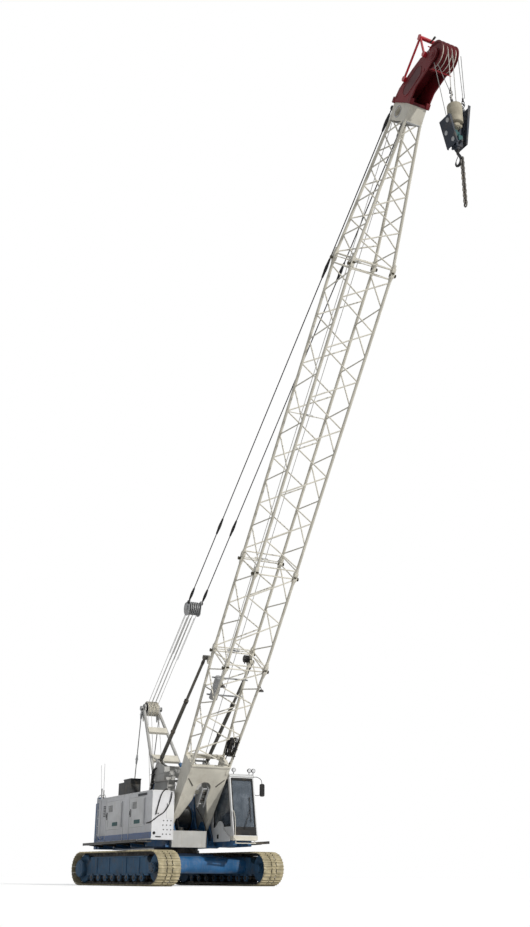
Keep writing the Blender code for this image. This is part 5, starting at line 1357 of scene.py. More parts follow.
@dataclass
class BoomTrim(Group):
    """What is fixed on the boom's foot section and along its length."""

    def build(self) -> None:
        """Make the foot section's edges and lugs, the rope guides, hoses and lines."""
        self.build_foot()
        self.build_inside()
        self.build_lines()

    @staticmethod
    def width(s: float) -> float:
        """Return half the boom's width at a place along it."""
        return BOOM_HALF_WIDTH - max(0.0, s - BOOM_JOINTS[2]) * TIP_TAPER

    @staticmethod
    def depth(s: float) -> float:
        """Return the rear chords' height at a place along the boom."""
        return min(BOOM_HALF_DEPTH, foot_depth(s))

    @staticmethod
    def front(s: float) -> float:
        """Return the foot section's front face at a place along the boom."""
        return -foot_depth(s)

    def build_foot(self) -> None:
        """Make the arch's rim, the plates' edge strips, the corner lugs and the foot bosses."""
        form, dark = forms(2, BOOM_PLACE)
        arch = [(0.44, 0.50), (1.15, 0.245)] + circle(0.245, 14, (1.56, 0.0), 90, -180)
        arch += [(1.15, -0.245), (0.44, -0.50)]
        rim = [Vector((s, y, self.front(s) - 0.006)) for s, y in arch]
        form.path(rim, 0.016, 8)
        for sign in SIDES:
            form.box((1.54, 1.58), pair(sign, 0.645, 0.6655), (-0.231, 0.231))
            top = self.front(2.34)
            lug = circle(0.055, 8, (2.50, top + 0.01), 0, 180) + [(2.34, top - 0.045), (2.56, top - 0.045)]
            form.prism(lug, *pair(sign, 0.60, 0.625))
            form.box((2.10, 2.40), pair(sign, 0.56, 0.655), (top - 0.030, top - 0.012), 0.004)
            dark.rod((2.50, sign * 0.58, top + 0.01), (2.50, sign * 0.645, top + 0.01), 0.026, 12)
            slant = [(1.62, sign * 0.40), (1.90, sign * 0.62), (1.93, sign * 0.60), (1.66, sign * 0.37)]
            dark.loft([[Vector((s, y, self.front(s) + w)) for s, y in slant] for w in (-0.004, -0.026)])
        form.box((2.36, 2.40), (-0.655, 0.655), (self.front(2.4) - 0.055, self.front(2.4) - 0.02))
        form.done("foot_trim", Body.BOOM, CREAM, bevel=0.003)
        dark.done("foot_stiffeners", Body.BOOM, TUBE)
        ears = Form(GROUND_PLACE)
        for sign in SIDES:
            ears.lathe([(0.0, 0.115), (0.018, 0.115), (0.026, 0.10), (0.026, 0.07), (0.040, 0.066)],
                       (0.836, sign * 0.716, 1.726), (0, sign, 0), 24)
            ears.box((0.80, 0.98), pair(sign, 0.716, 0.730), (1.695, 1.757), 0.01)
        ears.done("foot_pin_keepers", Body.UPPER, BLUE, bevel=0.002)

    def build_inside(self) -> None:
        """Make the rope guide in the arch, the grey winch above it and the hose coils."""
        frame, rolls = forms(2, BOOM_PLACE)
        for y in (-0.11, 0.09):
            frame.box((1.02, 1.66), (y, y + 0.02), (-0.44, -0.27), 0.02)
            frame.box((1.02, 1.66), (y - 0.012, y + 0.032), (-0.452, -0.438), 0.003)
        for s in (1.08, 1.60):
            frame.rod((s, -0.12, -0.35), (s, 0.12, -0.35), 0.022, 12)
        for s in (1.22, 1.44):
            flange = [(0.05, 0.040), (0.06, 0.055), (0.075, 0.055)]
            rolls.lathe(mirrored(flange), (s, 0, -0.35), sides=20)
        frame.box((1.80, 1.84), (-0.54, 0.54), (-0.20, -0.12))
        frame.lathe([(0.0, 0.09), (0.01, 0.13), (0.36, 0.13), (0.37, 0.115), (0.42, 0.115), (0.43, 0.13),
                     (0.73, 0.13), (0.74, 0.09)], (4.44, -0.42, 0.09), FORWARD, 28)
        for x in ((4.50, 4.53), (5.08, 5.11)):
            frame.box(x, (-0.60, 0.60), (0.19, 0.24))
        frame.done("rope_guide_frame", Body.BOOM, GREY, bevel=0.002)
        rolls.done("rope_guide_rolls", Body.BOOM, DARK)
        coils = Form(BOOM_PLACE)
        rng = random.Random(7)
        for i in range(9):
            centre = Vector((3.16 + rng.uniform(-0.02, 0.02), 0.40 + 0.026 * i - 0.10, -0.42))
            tilt = Vector((rng.uniform(-0.10, 0.10), 1.0, rng.uniform(-0.10, 0.10)))
            coils.loop(centre, tilt, 0.15 + rng.uniform(-0.012, 0.014), 0.016, 28, 8, 1.9)
        coils.done("hose_coil", Body.BOOM, RUBBER)
        lamps, glass = forms(2, BOOM_PLACE)
        aim = (-0.75, 0, -0.6)
        for s, y, n in ((5.28, 0.66, 0.66), (5.29, -0.60, 0.62)):
            lamps.lathe([(0.0, 0.03), (0.02, 0.06), (0.07, 0.075), (0.075, 0.065)], (s, y, -n), aim, 18)
            lamps.rod((s + 0.01, y, -n + 0.01), (s + 0.04, y, -0.50), 0.012, 8)
            glass.lathe([(0.070, 0.062), (0.078, 0.05), (0.080, 0.02)], (s, y, -n), aim, 18)
        for y in (-0.05, 0.0, 0.05):
            lamps.lathe([(-0.018, 0.04), (-0.018, 0.11), (-0.008, 0.095), (0.008, 0.095), (0.018, 0.11),
                         (0.018, 0.04)], (6.10, y, -0.40), sides=24)
        for y, s in product((-0.09, 0.09), (6.02, 6.18)):
            lamps.rod((s, y, -0.56), (6.10, y, -0.40), 0.014, 8)
        lamps.done("boom_lamps", Body.BOOM, DARK)
        glass.done("boom_lamp_glass", Body.BOOM, LAMP)
        straps = Form(BOOM_PLACE)
        for s in (2.93, 3.16, 3.40):
            straps.box(about(s, 0.012), (0.27, 0.55), (-0.60, -0.565), 0.004)
        for y in (0.28, 0.53):
            straps.rod((2.80, y, -0.55), (3.55, y, -0.55), 0.014, 8)
        straps.done("hose_rack", Body.BOOM, DARK)

    def build_lines(self) -> None:
        """Make the two hoist ropes along the boom, their rollers and the thin sensor line."""
        ropes = []
        for y, start in ((-0.14, 0.52), (0.14, 0.54)):
            ropes.append([(2.05, y, start), (12.0, y, 0.645), (HEAD_AXIS.x - 0.62, y, 0.61),
                          (HEAD_AXIS.x - 0.10, y, 0.06), (HEAD_AXIS.x + 0.12, y, -0.40)])
        self.grower.bars("hoist_ropes", ropes, 0.0095, Body.BOOM, PALE_ROPE, 8, BOOM_PLACE)
        line = [[Vector((s, 0.02 - self.width(s), self.depth(s) + 0.008 * math.sin(s * 2.1)))
                 for s in (2.6 + 0.4 * i for i in range(49))]]
        self.grower.bars("sensor_line", line, 0.006, Body.BOOM, RUBBER, 6, BOOM_PLACE)
        rolls, forks = forms(2, BOOM_PLACE)
        for s, z in ((2.05, 0.49), (5.88, 0.555), (8.93, 0.60), (13.5, 0.605), (18.08, 0.605), (22.1, 0.59)):
            rolls.lathe(mirrored([(0.19, 0.030), (0.20, 0.022)]), (s, 0, z - 0.004), sides=16)
            for sign in SIDES:
                forks.box(about(s, 0.022), pair(sign, 0.20, 0.212), (self.depth(s) - 0.03, z + 0.02), 0.008)
            half = self.width(s) - 0.01
            forks.rod((s, -half, self.depth(s) - 0.012), (s, half, self.depth(s) - 0.012), 0.014, 8)
        rolls.done("boom_rollers", Body.BOOM, GREY)
        forks.done("boom_roller_forks", Body.BOOM, CREAM)


@dataclass
class Head(Group):
    """The red head's sheaves, recesses of painted shade, guards and fittings."""

    pitch: float = 0.132
    plate: float = 0.305

    def build(self) -> None:
        """Make the head's pieces."""
        self.build_sheaves()
        self.build_plates()
        self.build_fittings()

    def build_sheaves(self) -> None:
        """Make four grooved sheaves and the pale lines that the rope wore in them, their shine a painted
        highlight.
        """
        sheaves, lines = forms(2, BOOM_PLACE)
        for i in range(4):
            base = (HEAD_AXIS.x, (i - 1.5) * self.pitch, HEAD_AXIS.z)
            half = [(0.012, 0.338), (0.044, 0.388), (0.058, 0.388), (0.058, 0.345), (0.022, 0.315),
                    (0.022, 0.130), (0.062, 0.120), (0.062, 0.058)]
            sheaves.lathe(mirrored(half), base, sides=48, closed=True)
            # Painted highlight: a pale ring in each groove, for rope-worn metal and its shine.
            lines.lathe([(-0.014, 0.3385), (-0.005, 0.344), (0.005, 0.344), (0.014, 0.3385), (0.012, 0.336),
                         (-0.012, 0.336)], base, sides=48, closed=True)
        sheaves.done("head_sheave_discs", Body.HEAD_SHEAVES, RED_SHADED, ("head_sheaves",), bevel=0.002)
        lines.done("head_sheave_grooves", Body.HEAD_SHEAVES, CREAM, ("head_sheaves",))

    @staticmethod
    def oval(length: float, width: float, centre: Point, turn: float) -> list[Point]:
        """Return an oval's outline in the head's side plane."""
        points = circle(width, 10, (length, 0), -90, 180) + circle(width, 10, (-length, 0), 90, 180)
        cos, sin = math.cos(turn), math.sin(turn)
        return [(centre[0] + u * cos - v * sin, centre[1] + u * sin + v * cos) for u, v in points]

    def build_plates(self) -> None:
        """Make the side plates' ovals, doublers, hub plates and the tip's gussets, and the painted shade in
        their recesses.
        """
        rims, dark, hubs = forms(3, BOOM_PLACE)
        turn = math.radians(-36)
        outer, inner = (self.oval(0.26, width, (22.98, -0.10), turn) for width in (0.20, 0.165))
        for sign in SIDES:
            rims.frame(outer, inner, sign * 0.299, sign * (self.plate + 0.010))
            # Painted shade: the ovals' insides are filled with a darker red.
            dark.prism(inner, *pair(sign, 0.3005, self.plate + 0.0015))
            hubs.lathe([(0.0, 0.20), (0.010, 0.20), (0.010, 0.13), (0.026, 0.12), (0.026, 0.07),
                        (0.040, 0.065)],
                       (HEAD_AXIS.x, sign * (self.plate - 0.002), HEAD_AXIS.z), (0, sign, 0), 28)
            for s, z in ((22.55, 0.50), (22.50, -0.22), (22.92, 0.30), (23.25, -0.55)):
                hubs.lathe([(0.0, 0.045), (0.012, 0.045), (0.016, 0.03)], (s, sign * (self.plate - 0.002), z),
                           (0, sign, 0), 16)
            for s, z in ((22.50, 0.60), (22.50, -0.30)):
                hubs.box((s - 0.10, s + 0.06), pair(sign, 0.20, 0.318), about(z, 0.045), 0.02)
        # Painted shade: a darker red strip between the side plates.
        dark.box((22.40, 22.46), (-0.20, 0.20), (-0.318, -0.295))
        rims.done("head_ovals", Body.BOOM, RED_SHADED, bevel=0.003)
        dark.done("head_recesses", Body.BOOM, RED_RECESS_SHADE)
        hubs.done("head_bosses", Body.BOOM, RED_SHADED, bevel=0.002)
        tip, recess = forms(2, BOOM_PLACE)
        hole, rim = (circle(radius, 20, (22.185, 0.24)) for radius in (0.135, 0.165))
        for sign in SIDES:
            tip.frame(rim, hole, sign * 0.258, sign * 0.270)
        for z in ((-0.306, -0.18), (0.50, 0.606)):
            tip.box((21.93, 21.965), (-0.268, 0.268), z, 0.004)
        tip.done("tip_rims", Body.BOOM, GREY, bevel=0.002)
        # Painted shade: a thin dark sheet in the tip's recess.
        recess.box((21.935, 21.949), (-0.20, 0.20), (-0.24, 0.52))
        recess.done("tip_recess", Body.BOOM, DARK)

    def build_fittings(self) -> None:
        """Make the rope guards, the clevis, the black post and the strut's gussets."""
        red, grey, black = forms(3, BOOM_PLACE)
        for angle in (-150, 60):
            u, v = circle(0.425, 1, (HEAD_AXIS.x, HEAD_AXIS.z), angle)[0]
            red.rod((u, -0.30, v), (u, 0.30, v), 0.014, 10)
        red.rod((24.10, -0.36, 0.12), (24.10, 0.36, 0.12), 0.054, 16)
        for sign in SIDES:
            red.box((24.03, 24.17), pair(sign, 0.372, 0.384), (0.05, 0.19), 0.02)
        red.done("head_guards", Body.BOOM, RED_SUNLIT, bevel=0.001)
        for y in (-0.24, -0.16):
            grey.box((23.50, 23.78), about(y, 0.012), (-0.62, -0.28), 0.05)
        grey.rod((23.70, -0.28, -0.34), (23.70, -0.12, -0.34), 0.030, 12)
        grey.box((23.56, 23.74), (-0.30, -0.10), (-0.30, -0.22), 0.03)
        grey.done("head_clevis", Body.BOOM, GREY, bevel=0.002)
        black.rod((24.06, -0.05, 0.06), (24.15, -0.05, -0.07), 0.022, 10)
        black.rod((24.15, -0.05, -0.07), (24.20, -0.05, -0.12), 0.030, 10)
        black.box((22.56, 22.70), (-0.10, 0.10), (0.585, 0.66), 0.02)
        black.done("head_post", Body.BOOM, BLACK)


@dataclass
class HookGroup(Group):
    """The hoist line's end: sling, weight, cheek plates, hook and chain."""

    x: float = HOOK_X
    top: float = HEAD_Z - 1.77
    bottom: float = HEAD_Z - 3.13 - 0.0003

    def build(self) -> None:
        """Make the hook group's pieces."""
        self.build_ropes()
        self.build_block()
        self.build_hook()

    def build_ropes(self) -> None:
        """Make the two hoist parts, the second line with its shackle and the right sling."""
        x, top = self.x, self.top
        falls = [[(x, y, top + 0.16), (x, y, HEAD_Z)] for y in (-0.066, 0.066)]
        self.grower.bars("hoist_parts", falls, 0.0115, Body.HOOK_BLOCK, PALE_ROPE, 10, None, ("hoist_falls",))
        second = [[(x - 0.24, -0.24, HEAD_Z - 0.36), (x - 0.07, -0.06, top + 0.50)],
                  [(x - 0.30, -0.30, HEAD_Z - 0.30), (x - 0.02, -0.24, top - 0.52)],
                  [(x - 0.04, 0.27, HEAD_Z - 0.12), (x - 0.02, 0.31, top + 0.34)],
                  [(x + 0.04, 0.30, HEAD_Z - 0.12), (x + 0.02, 0.33, top + 0.34)]]
        self.grower.bars("second_lines", second, WIRE, Body.HOOK_BLOCK, ROPE, 8)
        form = Form()
        for y in (-0.066, 0.066):
            form.lathe([(0.0, 0.020), (0.03, 0.034), (0.13, 0.034), (0.17, 0.016)], (x, y, top), UPWARD, 16)
            form.loop((x, y, top + 0.015), FORWARD, 0.028, 0.010, 18, 8)
        for y, z in ((-0.045, top + 0.44), (0.32, top + 0.25)):
            form.loop((x - 0.04, y, z), FORWARD, 0.036, 0.012, 20, 8, 1.35)
            form.rod((x - 0.04, y - 0.055, z - 0.055), (x - 0.04, y + 0.055, z - 0.055), 0.013, 10)
            form.lathe([(0.0, 0.022), (0.10, 0.022), (0.12, 0.010)], (x - 0.04, y, z + 0.03), UPWARD, 12)
            form.loop((x - 0.04, y, z - 0.13), (0, 1, 0), 0.034, 0.011, 20, 8, 1.4)
            form.loop((x - 0.04, y * 0.98, z - 0.235), FORWARD, 0.030, 0.011, 20, 8, 1.4)
        form.done("rope_ends", Body.HOOK_BLOCK, DARK)

    def build_block(self) -> None:
        """Make the round weight, the cheek plates with their holes and the parts below."""
        x, top = self.x, self.top
        weight = Form()
        weight.lathe([(0.0, 0.10), (-0.002, 0.165), (-0.012, 0.182), (-0.035, 0.190), (-0.535, 0.190),
                      (-0.558, 0.182), (-0.570, 0.165), (-0.572, 0.10)], (x, 0, top), UPWARD, 40)
        weight.lathe([(0.0, 0.10), (-0.02, 0.115), (-0.10, 0.115), (-0.14, 0.075)],
                     (x, 0, top - 0.57), UPWARD, 28)
        for u, v in circle(0.105, 4, start=45):
            weight.lathe([(0.0, 0.05), (-0.05, 0.05), (-0.07, 0.03)], (x + u, v, top - 0.64), UPWARD, 14)
        weight.done("hook_weight", Body.HOOK_BLOCK, CONCRETE, ("hook_block",), bevel=0.002)
        plates, rims = forms(2)
        for sign, drop in ((-1, 0.50), (1, 0.02)):
            high = top - drop
            low = top - 1.26
            lip = [(0.28, high), (0.352, high), (0.162, low), (0.12, low)]
            web = [(0.12, high - 0.22), (0.28, high), (0.302, high), (0.142, low), (0.03, low),
                   (0.03, low + 0.10)]
            skin = [(0.335, high), (0.350, high), (0.160, low), (0.145, low)]
            for outline, middle, half in ((lip, x - 0.19, 0.010), (lip, x + 0.19, 0.010), (web, x, 0.012),
                                          (skin, x, 0.19)):
                plates.prism([(sign * y, z) for y, z in outline], *about(middle, half), Axis.X)
            slope = Vector((0.0, sign * (high - low), -0.19)).normalized()
            for share in (0.16, 0.5, 0.84):
                y = sign * (0.351 + (0.161 - 0.351) * share)
                z = high + (low - high) * share
                rims.lathe([(-0.004, 0.058), (0.006, 0.058), (0.007, 0.050)],
                           (x + (0.09 if share != 0.5 else -0.07), y, z), slope, 18)
        plates.rod((x - 0.20, 0, top - 1.18), (x + 0.20, 0, top - 1.18), 0.030, 14)
        plates.box(about(x, 0.10), (-0.10, 0.10), (top - 1.30, top - 1.10), 0.03)
        plates.lathe([(0.0, 0.075), (-0.07, 0.075), (-0.08, 0.058)], (x, 0, top - 1.28), UPWARD, 24)
        plates.done("hook_cheeks", Body.HOOK_BLOCK, CHEEK, ("hook_block",), bevel=0.002)
        rims.done("cheek_covers", Body.HOOK_BLOCK, GREY)
        teal = Form()
        teal.box(about(x, 0.08), (-0.13, -0.02), (top - 0.98, top - 0.80), 0.02)
        teal.box((x - 0.06, x + 0.10), (-0.02, 0.11), (top - 1.10, top - 0.93), 0.03)
        teal.lathe([(0.0, 0.06), (0.12, 0.06)], (x, -0.06, top - 0.86), (0, 1, 0), 16)
        teal.done("hook_swivel_case", Body.HOOK_BLOCK, TEAL, bevel=0.004)

    def build_hook(self) -> None:
        """Make the forged hook with its latch, and the chain that hangs from it."""
        x, bottom = self.x, self.bottom
        hook = Form()
        low = bottom - 0.46
        line = smooth_path([(x, 0, bottom), (x + 0.005, 0, bottom - 0.10), (x + 0.065, 0, bottom - 0.20),
                            (x + 0.104, 0, low + 0.13), (x + 0.070, 0, low + 0.052), (x, 0, low + 0.026),
                            (x - 0.070, 0, low + 0.052), (x - 0.104, 0, low + 0.13),
                            (x - 0.085, 0, low + 0.20)])
        rows = []
        for i, point in enumerate(line):
            ahead = (line[min(i + 1, len(line) - 1)] - line[max(i - 1, 0)]).normalized()
            side = Vector((0, 1, 0))
            out = ahead.cross(side)
            share = i / (len(line) - 1)
            thick = 0.034 * (1 - share ** 5) + 0.008
            rows.append([point + out * thick * u * 0.82 + side * thick * v for u, v in circle(1.0, 14)])
        hook.loft(rows)
        hook.lathe([(0.0, 0.052), (-0.030, 0.052), (-0.040, 0.040)], (x, 0, bottom), UPWARD, 20)
        hook.rod((x - 0.095, 0, low + 0.20), (x + 0.02, 0, bottom - 0.15), 0.009, 8)
        hook.done("hook_forging", Body.HOOK, BLACK, ("hook",))
        link = Form()
        link.loop((0, 0, 0), (0, 1, 0), 0.044, 0.020, 18, 8, 1.45)
        spots = []
        for i in range(17):
            turn = (0.0, math.pi / 2, math.pi / 2 * (i % 2))
            spots.append(((x + 0.145, 0.0, low + 0.17 - 0.062 - i * 0.081), turn))
        self.grower.repeat("chain_links", link, spots, Body.HOOK, DUSTY_CHAIN, None, ("chain",))


@dataclass
class House(Group):
    """The machine house's trim, its doors, roof, tail and decks."""

    doors: tuple[tuple[Body, float, float, int], ...] = (
        (Body.DOOR_FRONT, 0.98, 1.30, -1),
        (Body.DOOR_REAR, -1.02, 1.50, -1),
        (Body.DOOR_LEFT, -0.40, 1.50, 1))
    rear: float = -3.34
    bay: float = 0.97
    front: float = 1.6
    ladder: Point = (-3.23, -2.90)
    ladder_out: float = -1.565
    rails: tuple[Point, Point] = ((1.302, 1.345), (2.700, 2.738))
    rail_depth: Point = (-1.512, -1.496)
    skin: float = 1.4985

    def build(self) -> None:
        """Make the house's pieces."""
        self.build_shell()
        self.build_front()
        for door in self.doors:
            self.build_door(*door)
        self.build_roof()
        self.build_tail()
        self.build_decks()
        self.build_drums()

    def build_shell(self) -> None:
        """Make the sills, drip rails, posts, louvres, ladders and their dark backs."""
        trim, dark = forms(2, GROUND_PLACE)
        for z in self.rails:
            trim.box((self.rear, self.bay), self.rail_depth, z, 0.005)
        for x in (-3.31, -2.56, -0.90, -0.36):
            trim.box(about(x, 0.012), (-1.507, -1.497), (1.35, 2.70), 0.003)
        out = self.ladder_out
        for x in self.ladder:
            rail = [(x, -1.50, 1.42), (x, -1.56, 1.46), (x, out, 1.60), (x, out, 2.60), (x, -1.56, 2.78),
                    (x, -1.47, 2.86), (x, -1.40, 2.74)]
            trim.path(smooth_path(rail, 4), 0.014, 8)
        for i in range(5):
            trim.rod(*((x, out, 1.58 + 0.26 * i) for x in self.ladder), 0.011, 8)
        for i in range(6):
            trim.box((-2.78, -2.60), (-1.512, -1.498), (2.16 + 0.05 * i, 2.18 + 0.05 * i), 0.003)
        dark.box((-2.80, -2.58), (-1.5035, -1.498), (2.13, 2.47))
        trim.mirror()
        dark.mirror()
        for z in self.rails:
            trim.box((self.bay, 1.598), self.rail_depth, z, 0.005)
        for i in range(5):
            dark.box((0.40 + 0.155 * i, 0.53 + 0.155 * i), (-1.510, -1.498), (2.605, 2.680), 0.008)
        trim.done("house_rails", Body.UPPER, WHITE, bevel=0.002)
        dark.done("house_louvres", Body.UPPER, LOUVRE)
        spots = [((x, side * 1.5115, z), facing(0, side, 0)) for side in SIDES for z in (1.323, 2.719)
                 for x in (-3.2 + 0.34 * i for i in range(13))]
        self.grower.repeat("house_bolts", bolt_head(0.010, 0.007), spots, Body.UPPER, GREY, GROUND_PLACE)

    def build_front(self) -> None:
        """Make the front panel's edge, its holes, the hose over it and the valve block."""
        edge, dark = forms(2, GROUND_PLACE)
        edge.frame(rounded((-1.495, 1.305), (-0.785, 2.715), 0.03),
                   rounded((-1.475, 1.325), (-0.805, 2.695), 0.02), 1.599, 1.607, Axis.X)
        edge.box((1.599, 1.612), (-1.02, -0.80), (1.92, 2.30), 0.0)
        edge.rod((1.61, -0.98, 2.34), (1.66, -0.98, 2.34), 0.035, 16)
        edge.done("house_front_edge", Body.UPPER, WHITE, bevel=0.002)
        for y, z, radius in ((-1.41, 1.49, 0.046), (-1.42, 1.88, 0.026), (-1.30, 2.05, 0.022)):
            dark.lathe([(0.0, radius), (0.006, radius), (0.008, radius * 0.8)], (self.front, y, z),
                       FORWARD, 20)
        dark.box((1.598, 1.606), (-1.36, -1.18), (1.37, 1.40))
        dark.done("front_openings", Body.UPPER, SEAL)
        hole = Form()
        hole.lathe([(0.0, 0.019), (0.005, 0.019), (0.006, 0.013)], axis=UPWARD, sides=12)
        spots = [((self.front, -1.13 + 0.12 * (i % 3) + 0.02 * (i // 3 % 2), 1.46 + 0.13 * (i // 3)),
                  facing(*FORWARD)) for i in range(12)]
        self.grower.repeat("front_hole_grid", hole, spots, Body.UPPER, SEAL, GROUND_PLACE)
        self.hoses("front_hoses", 0.017, (
            [(1.45, -0.86, 2.73), (1.63, -0.88, 2.66), (1.66, -0.94, 2.40), (1.65, -1.10, 2.12),
             (1.65, -1.30, 1.98), (1.62, -1.44, 1.87), (1.57, -1.53, 1.80), (1.30, -1.55, 1.78)],
            [(1.20, -0.84, 2.74), (1.58, -1.06, 2.77), (1.63, -1.22, 2.60), (1.64, -1.34, 2.20),
             (1.64, -1.38, 2.02)]))

    def build_door(self, body: Body, hinge: float, width: float, sign: int) -> None:
        """Make one door's pressed border, latch, louvres and blank plate."""
        name = body.value
        trim, dark = forms(2, GROUND_PLACE)
        low, high = hinge - width + 0.15, hinge - 0.14
        trim.frame(rounded((low, 1.76), (high, 2.52), 0.05),
                   rounded((low + 0.022, 1.782), (high - 0.022, 2.498), 0.035),
                   *pair(sign, self.skin, 1.5075))
        trim.done(f"{name}_border", body, WHITE, bevel=0.002)
        x = hinge - width + 0.08
        dark.box(about(x, 0.045), pair(sign, self.skin, 1.504), (2.02, 2.25), 0.02)
        dark.box(about(x, 0.012), pair(sign, 1.50, 1.532), (2.07, 2.20), 0.008)
        for i in range(7):
            dark.box((low + 0.10, low + 0.46), pair(sign, self.skin, 1.5055),
                     (2.26 + 0.030 * i, 2.272 + 0.030 * i))
        for z in (1.86, 2.36):
            dark.lathe([(0.0, 0.012), (0.05, 0.012)], (hinge - 0.002, sign * 1.522, z), UPWARD, 10)
        dark.done(f"{name}_latch", body, SEAL)
        plate = Form(GROUND_PLACE)
        plate.box((hinge - 0.88, hinge - 0.38), pair(sign, self.skin, 1.5025), (1.80, 1.92), 0.004)
        plate.done(f"{name}_blank_plate", body, TEAL)

    def build_roof(self) -> None:
        """Make the roof's box, exhaust, filter, grilles, hatches and lifting eyes."""
        dark, pale, grille = forms(3, GROUND_PLACE)
        dark.box((-3.62, -3.09), (-0.71, -0.40), (2.78, 3.30), 0.012)
        dark.box((-3.09, -2.392), (-0.728, -0.352), (2.735, 2.77), 0.004)
        dark.box((-3.095, -2.385), (-0.732, -0.348), (3.36, 3.392), 0.006)
        for x in (-2.98, -2.74, -2.50):
            dark.box(about(x, 0.008), (-0.726, -0.354), (2.77, 3.36))
        dark.box((-3.074, -2.406), (-0.724, -0.356), (2.76, 3.37))
        dark.box((-3.60, -3.12), (-1.0, -0.46), (2.602, 2.80), 0.02)
        dark.lathe([(0.0, 0.075), (0.30, 0.075), (0.31, 0.05), (0.52, 0.05), (0.60, 0.055)],
                   (-2.42, 0.40, 2.72), (-0.12, 0, 1), 20)
        dark.lathe([(0.0, 0.13), (0.02, 0.15), (0.20, 0.15), (0.23, 0.12), (0.26, 0.16), (0.32, 0.15),
                    (0.34, 0.05)], (-2.82, 0.46, 2.72), UPWARD, 24)
        dark.done("roof_box_skin", Body.UPPER, ROOF_DARK, ("roof_box",), bevel=0.003)
        for y in SIDES:
            for x in (-2.0, 0.55):
                pale.loop((x, y * 1.22, 2.745), (0, 1, 0), 0.045, 0.011, 18, 8)
            for x in ((-1.95, -1.35), (-0.85, -0.20)):
                pale.box(x, pair(y, 0.90, 1.38), (2.715, 2.738), 0.004)
            for i in range(9):
                grille.box((-3.20 + 0.085 * i, -3.16 + 0.085 * i), pair(y, 0.92, 1.38), (2.717, 2.736))
        pale.box((0.55, 1.50), (-1.42, -0.86), (2.715, 2.742), 0.004)
        pale.done("roof_hatches", Body.UPPER, WHITE, bevel=0.003)
        for i in range(14):
            grille.box((-3.02 + 0.055 * i, -2.99 + 0.055 * i), (-0.30, 0.28), (2.717, 2.735))
            grille.box((-3.108, -3.095), (-0.60, 0.60), (1.75 + 0.06 * i, 1.78 + 0.06 * i))
        grille.done("roof_grilles", Body.UPPER, LOUVRE)

    def build_tail(self) -> None:
        """Make the tail's top rail, aerials, lifting lugs, seams and lamps."""
        blue, lamps = forms(2, GROUND_PLACE)
        blue.box((-3.64, -3.38), (-1.46, -1.18), (2.602, 2.80), 0.02)
        blue.box((-3.372, -3.30), (-1.508, -1.47), (1.32, 2.74), 0.004)
        blue.box((-3.80, -3.40), (-1.10, -0.85), (2.602, 2.63), 0.01)
        for z in (1.56, 2.02, 2.34):
            blue.box((-3.57, -3.38), (-1.509, -1.498), (z, z + 0.014))
        blue.lathe([(0.0, 0.055), (0.012, 0.055), (0.016, 0.03)], (-3.47, -1.499, 2.46), (0, -1, 0), 18)
        blue.mirror()
        for z in (1.60, 2.10):
            blue.box((-3.930, -3.89), (-0.70, 0.70), (z, z + 0.02))
        blue.box((-3.95, -3.90), (-0.32, 0.32), (1.72, 1.98), 0.02)
        blue.done("tail_rails", Body.UPPER, SLAB_BLUE, bevel=0.003)
        for y in SIDES:
            lamps.lathe([(0.0, 0.06), (0.02, 0.06), (0.03, 0.045)], (-3.865, y * 0.95, 1.50), (-1, 0, 0), 20)
            lamps.box((-3.912, -3.87), pair(y, 0.60, 0.84), (1.46, 1.54))
        lamps.done("tail_lamps", Body.UPPER, AMBER)
        masts = []
        feet = Form(GROUND_PLACE)
        for x, y, z, lean in ((-3.48, -1.36, 2.80, -0.12), (-3.05, -1.44, 2.72, 0.03)):
            masts.append([(x, y, 2.70), (x + lean, y - 0.03, 3.88)])
            feet.lathe([(0.0, 0.03), (0.05, 0.03), (0.06, 0.016), (0.28, 0.016), (0.30, 0.008)], (x, y, z),
                       UPWARD, 12)
        self.grower.bars("aerials", masts, 0.0065, Body.UPPER, GREY, 6, GROUND_PLACE)
        feet.done("aerial_feet", Body.UPPER, DARK)

    def build_decks(self) -> None:
        """Make the decks' edge bars and treads, the slew drive and the ring's bolts."""
        edge = Form(GROUND_PLACE)
        for x, sign, outer in (((-3.34, 1.60), -1, 1.98), ((-1.90, 2.20), 1, 2.20)):
            edge.box(x, pair(sign, outer - 0.020, outer + 0.004), (1.222, 1.300), 0.004)
        edge.done("deck_edges", Body.UPPER, DARK, bevel=0.002)
        tread = Form()
        tread.prism([(-0.022, 0.0), (0.022, 0.0), (0.018, 0.004), (-0.018, 0.004)], -0.004, 0.004)
        spots = []
        for low, count, start, rows in ((-3.28, 53, -1.94, 5), (-1.84, 44, 1.60, 7)):
            spots += [((low + 0.09 * i, start + 0.085 * j, 1.2605), (0, 0, 0.8 if (i + j) % 2 else -0.8))
                      for i in range(count) for j in range(rows)]
        self.grower.repeat("deck_treads", tread, spots, Body.UPPER, DARK, GROUND_PLACE)
        drive = Form(GROUND_PLACE)
        drive.lathe([(0.0, 0.17), (0.10, 0.17), (0.12, 0.14), (0.34, 0.14), (0.36, 0.10), (0.52, 0.10),
                     (0.54, 0.06)], (0.78, -0.20, 1.162), UPWARD, 24)
        drive.done("slew_drive", Body.UPPER, DARK, bevel=0.002)
        bolts = [((0.80 * u, 0.80 * v, 0.9405), (0, 0, 0)) for u, v in circle(1.0, 36)]
        self.grower.repeat("ring_bolts", bolt_head(0.020, 0.022), bolts, Body.UNDERCARRIAGE, DARK,
                           GROUND_PLACE)
        self.hoses("deck_hoses", 0.018, (
            [(1.10, 0.42, 1.20), (1.20, 0.50, 1.5), (1.00, 0.46, 1.95), (0.55, 0.44, 2.30)],
            [(1.18, -0.36, 1.20), (1.22, -0.42, 1.5), (1.02, -0.42, 1.9), (0.60, -0.42, 2.25)],
            [(1.14, 0.30, 1.20), (1.16, 0.36, 1.45), (0.86, 0.38, 1.62), (0.40, 0.40, 1.66)]))

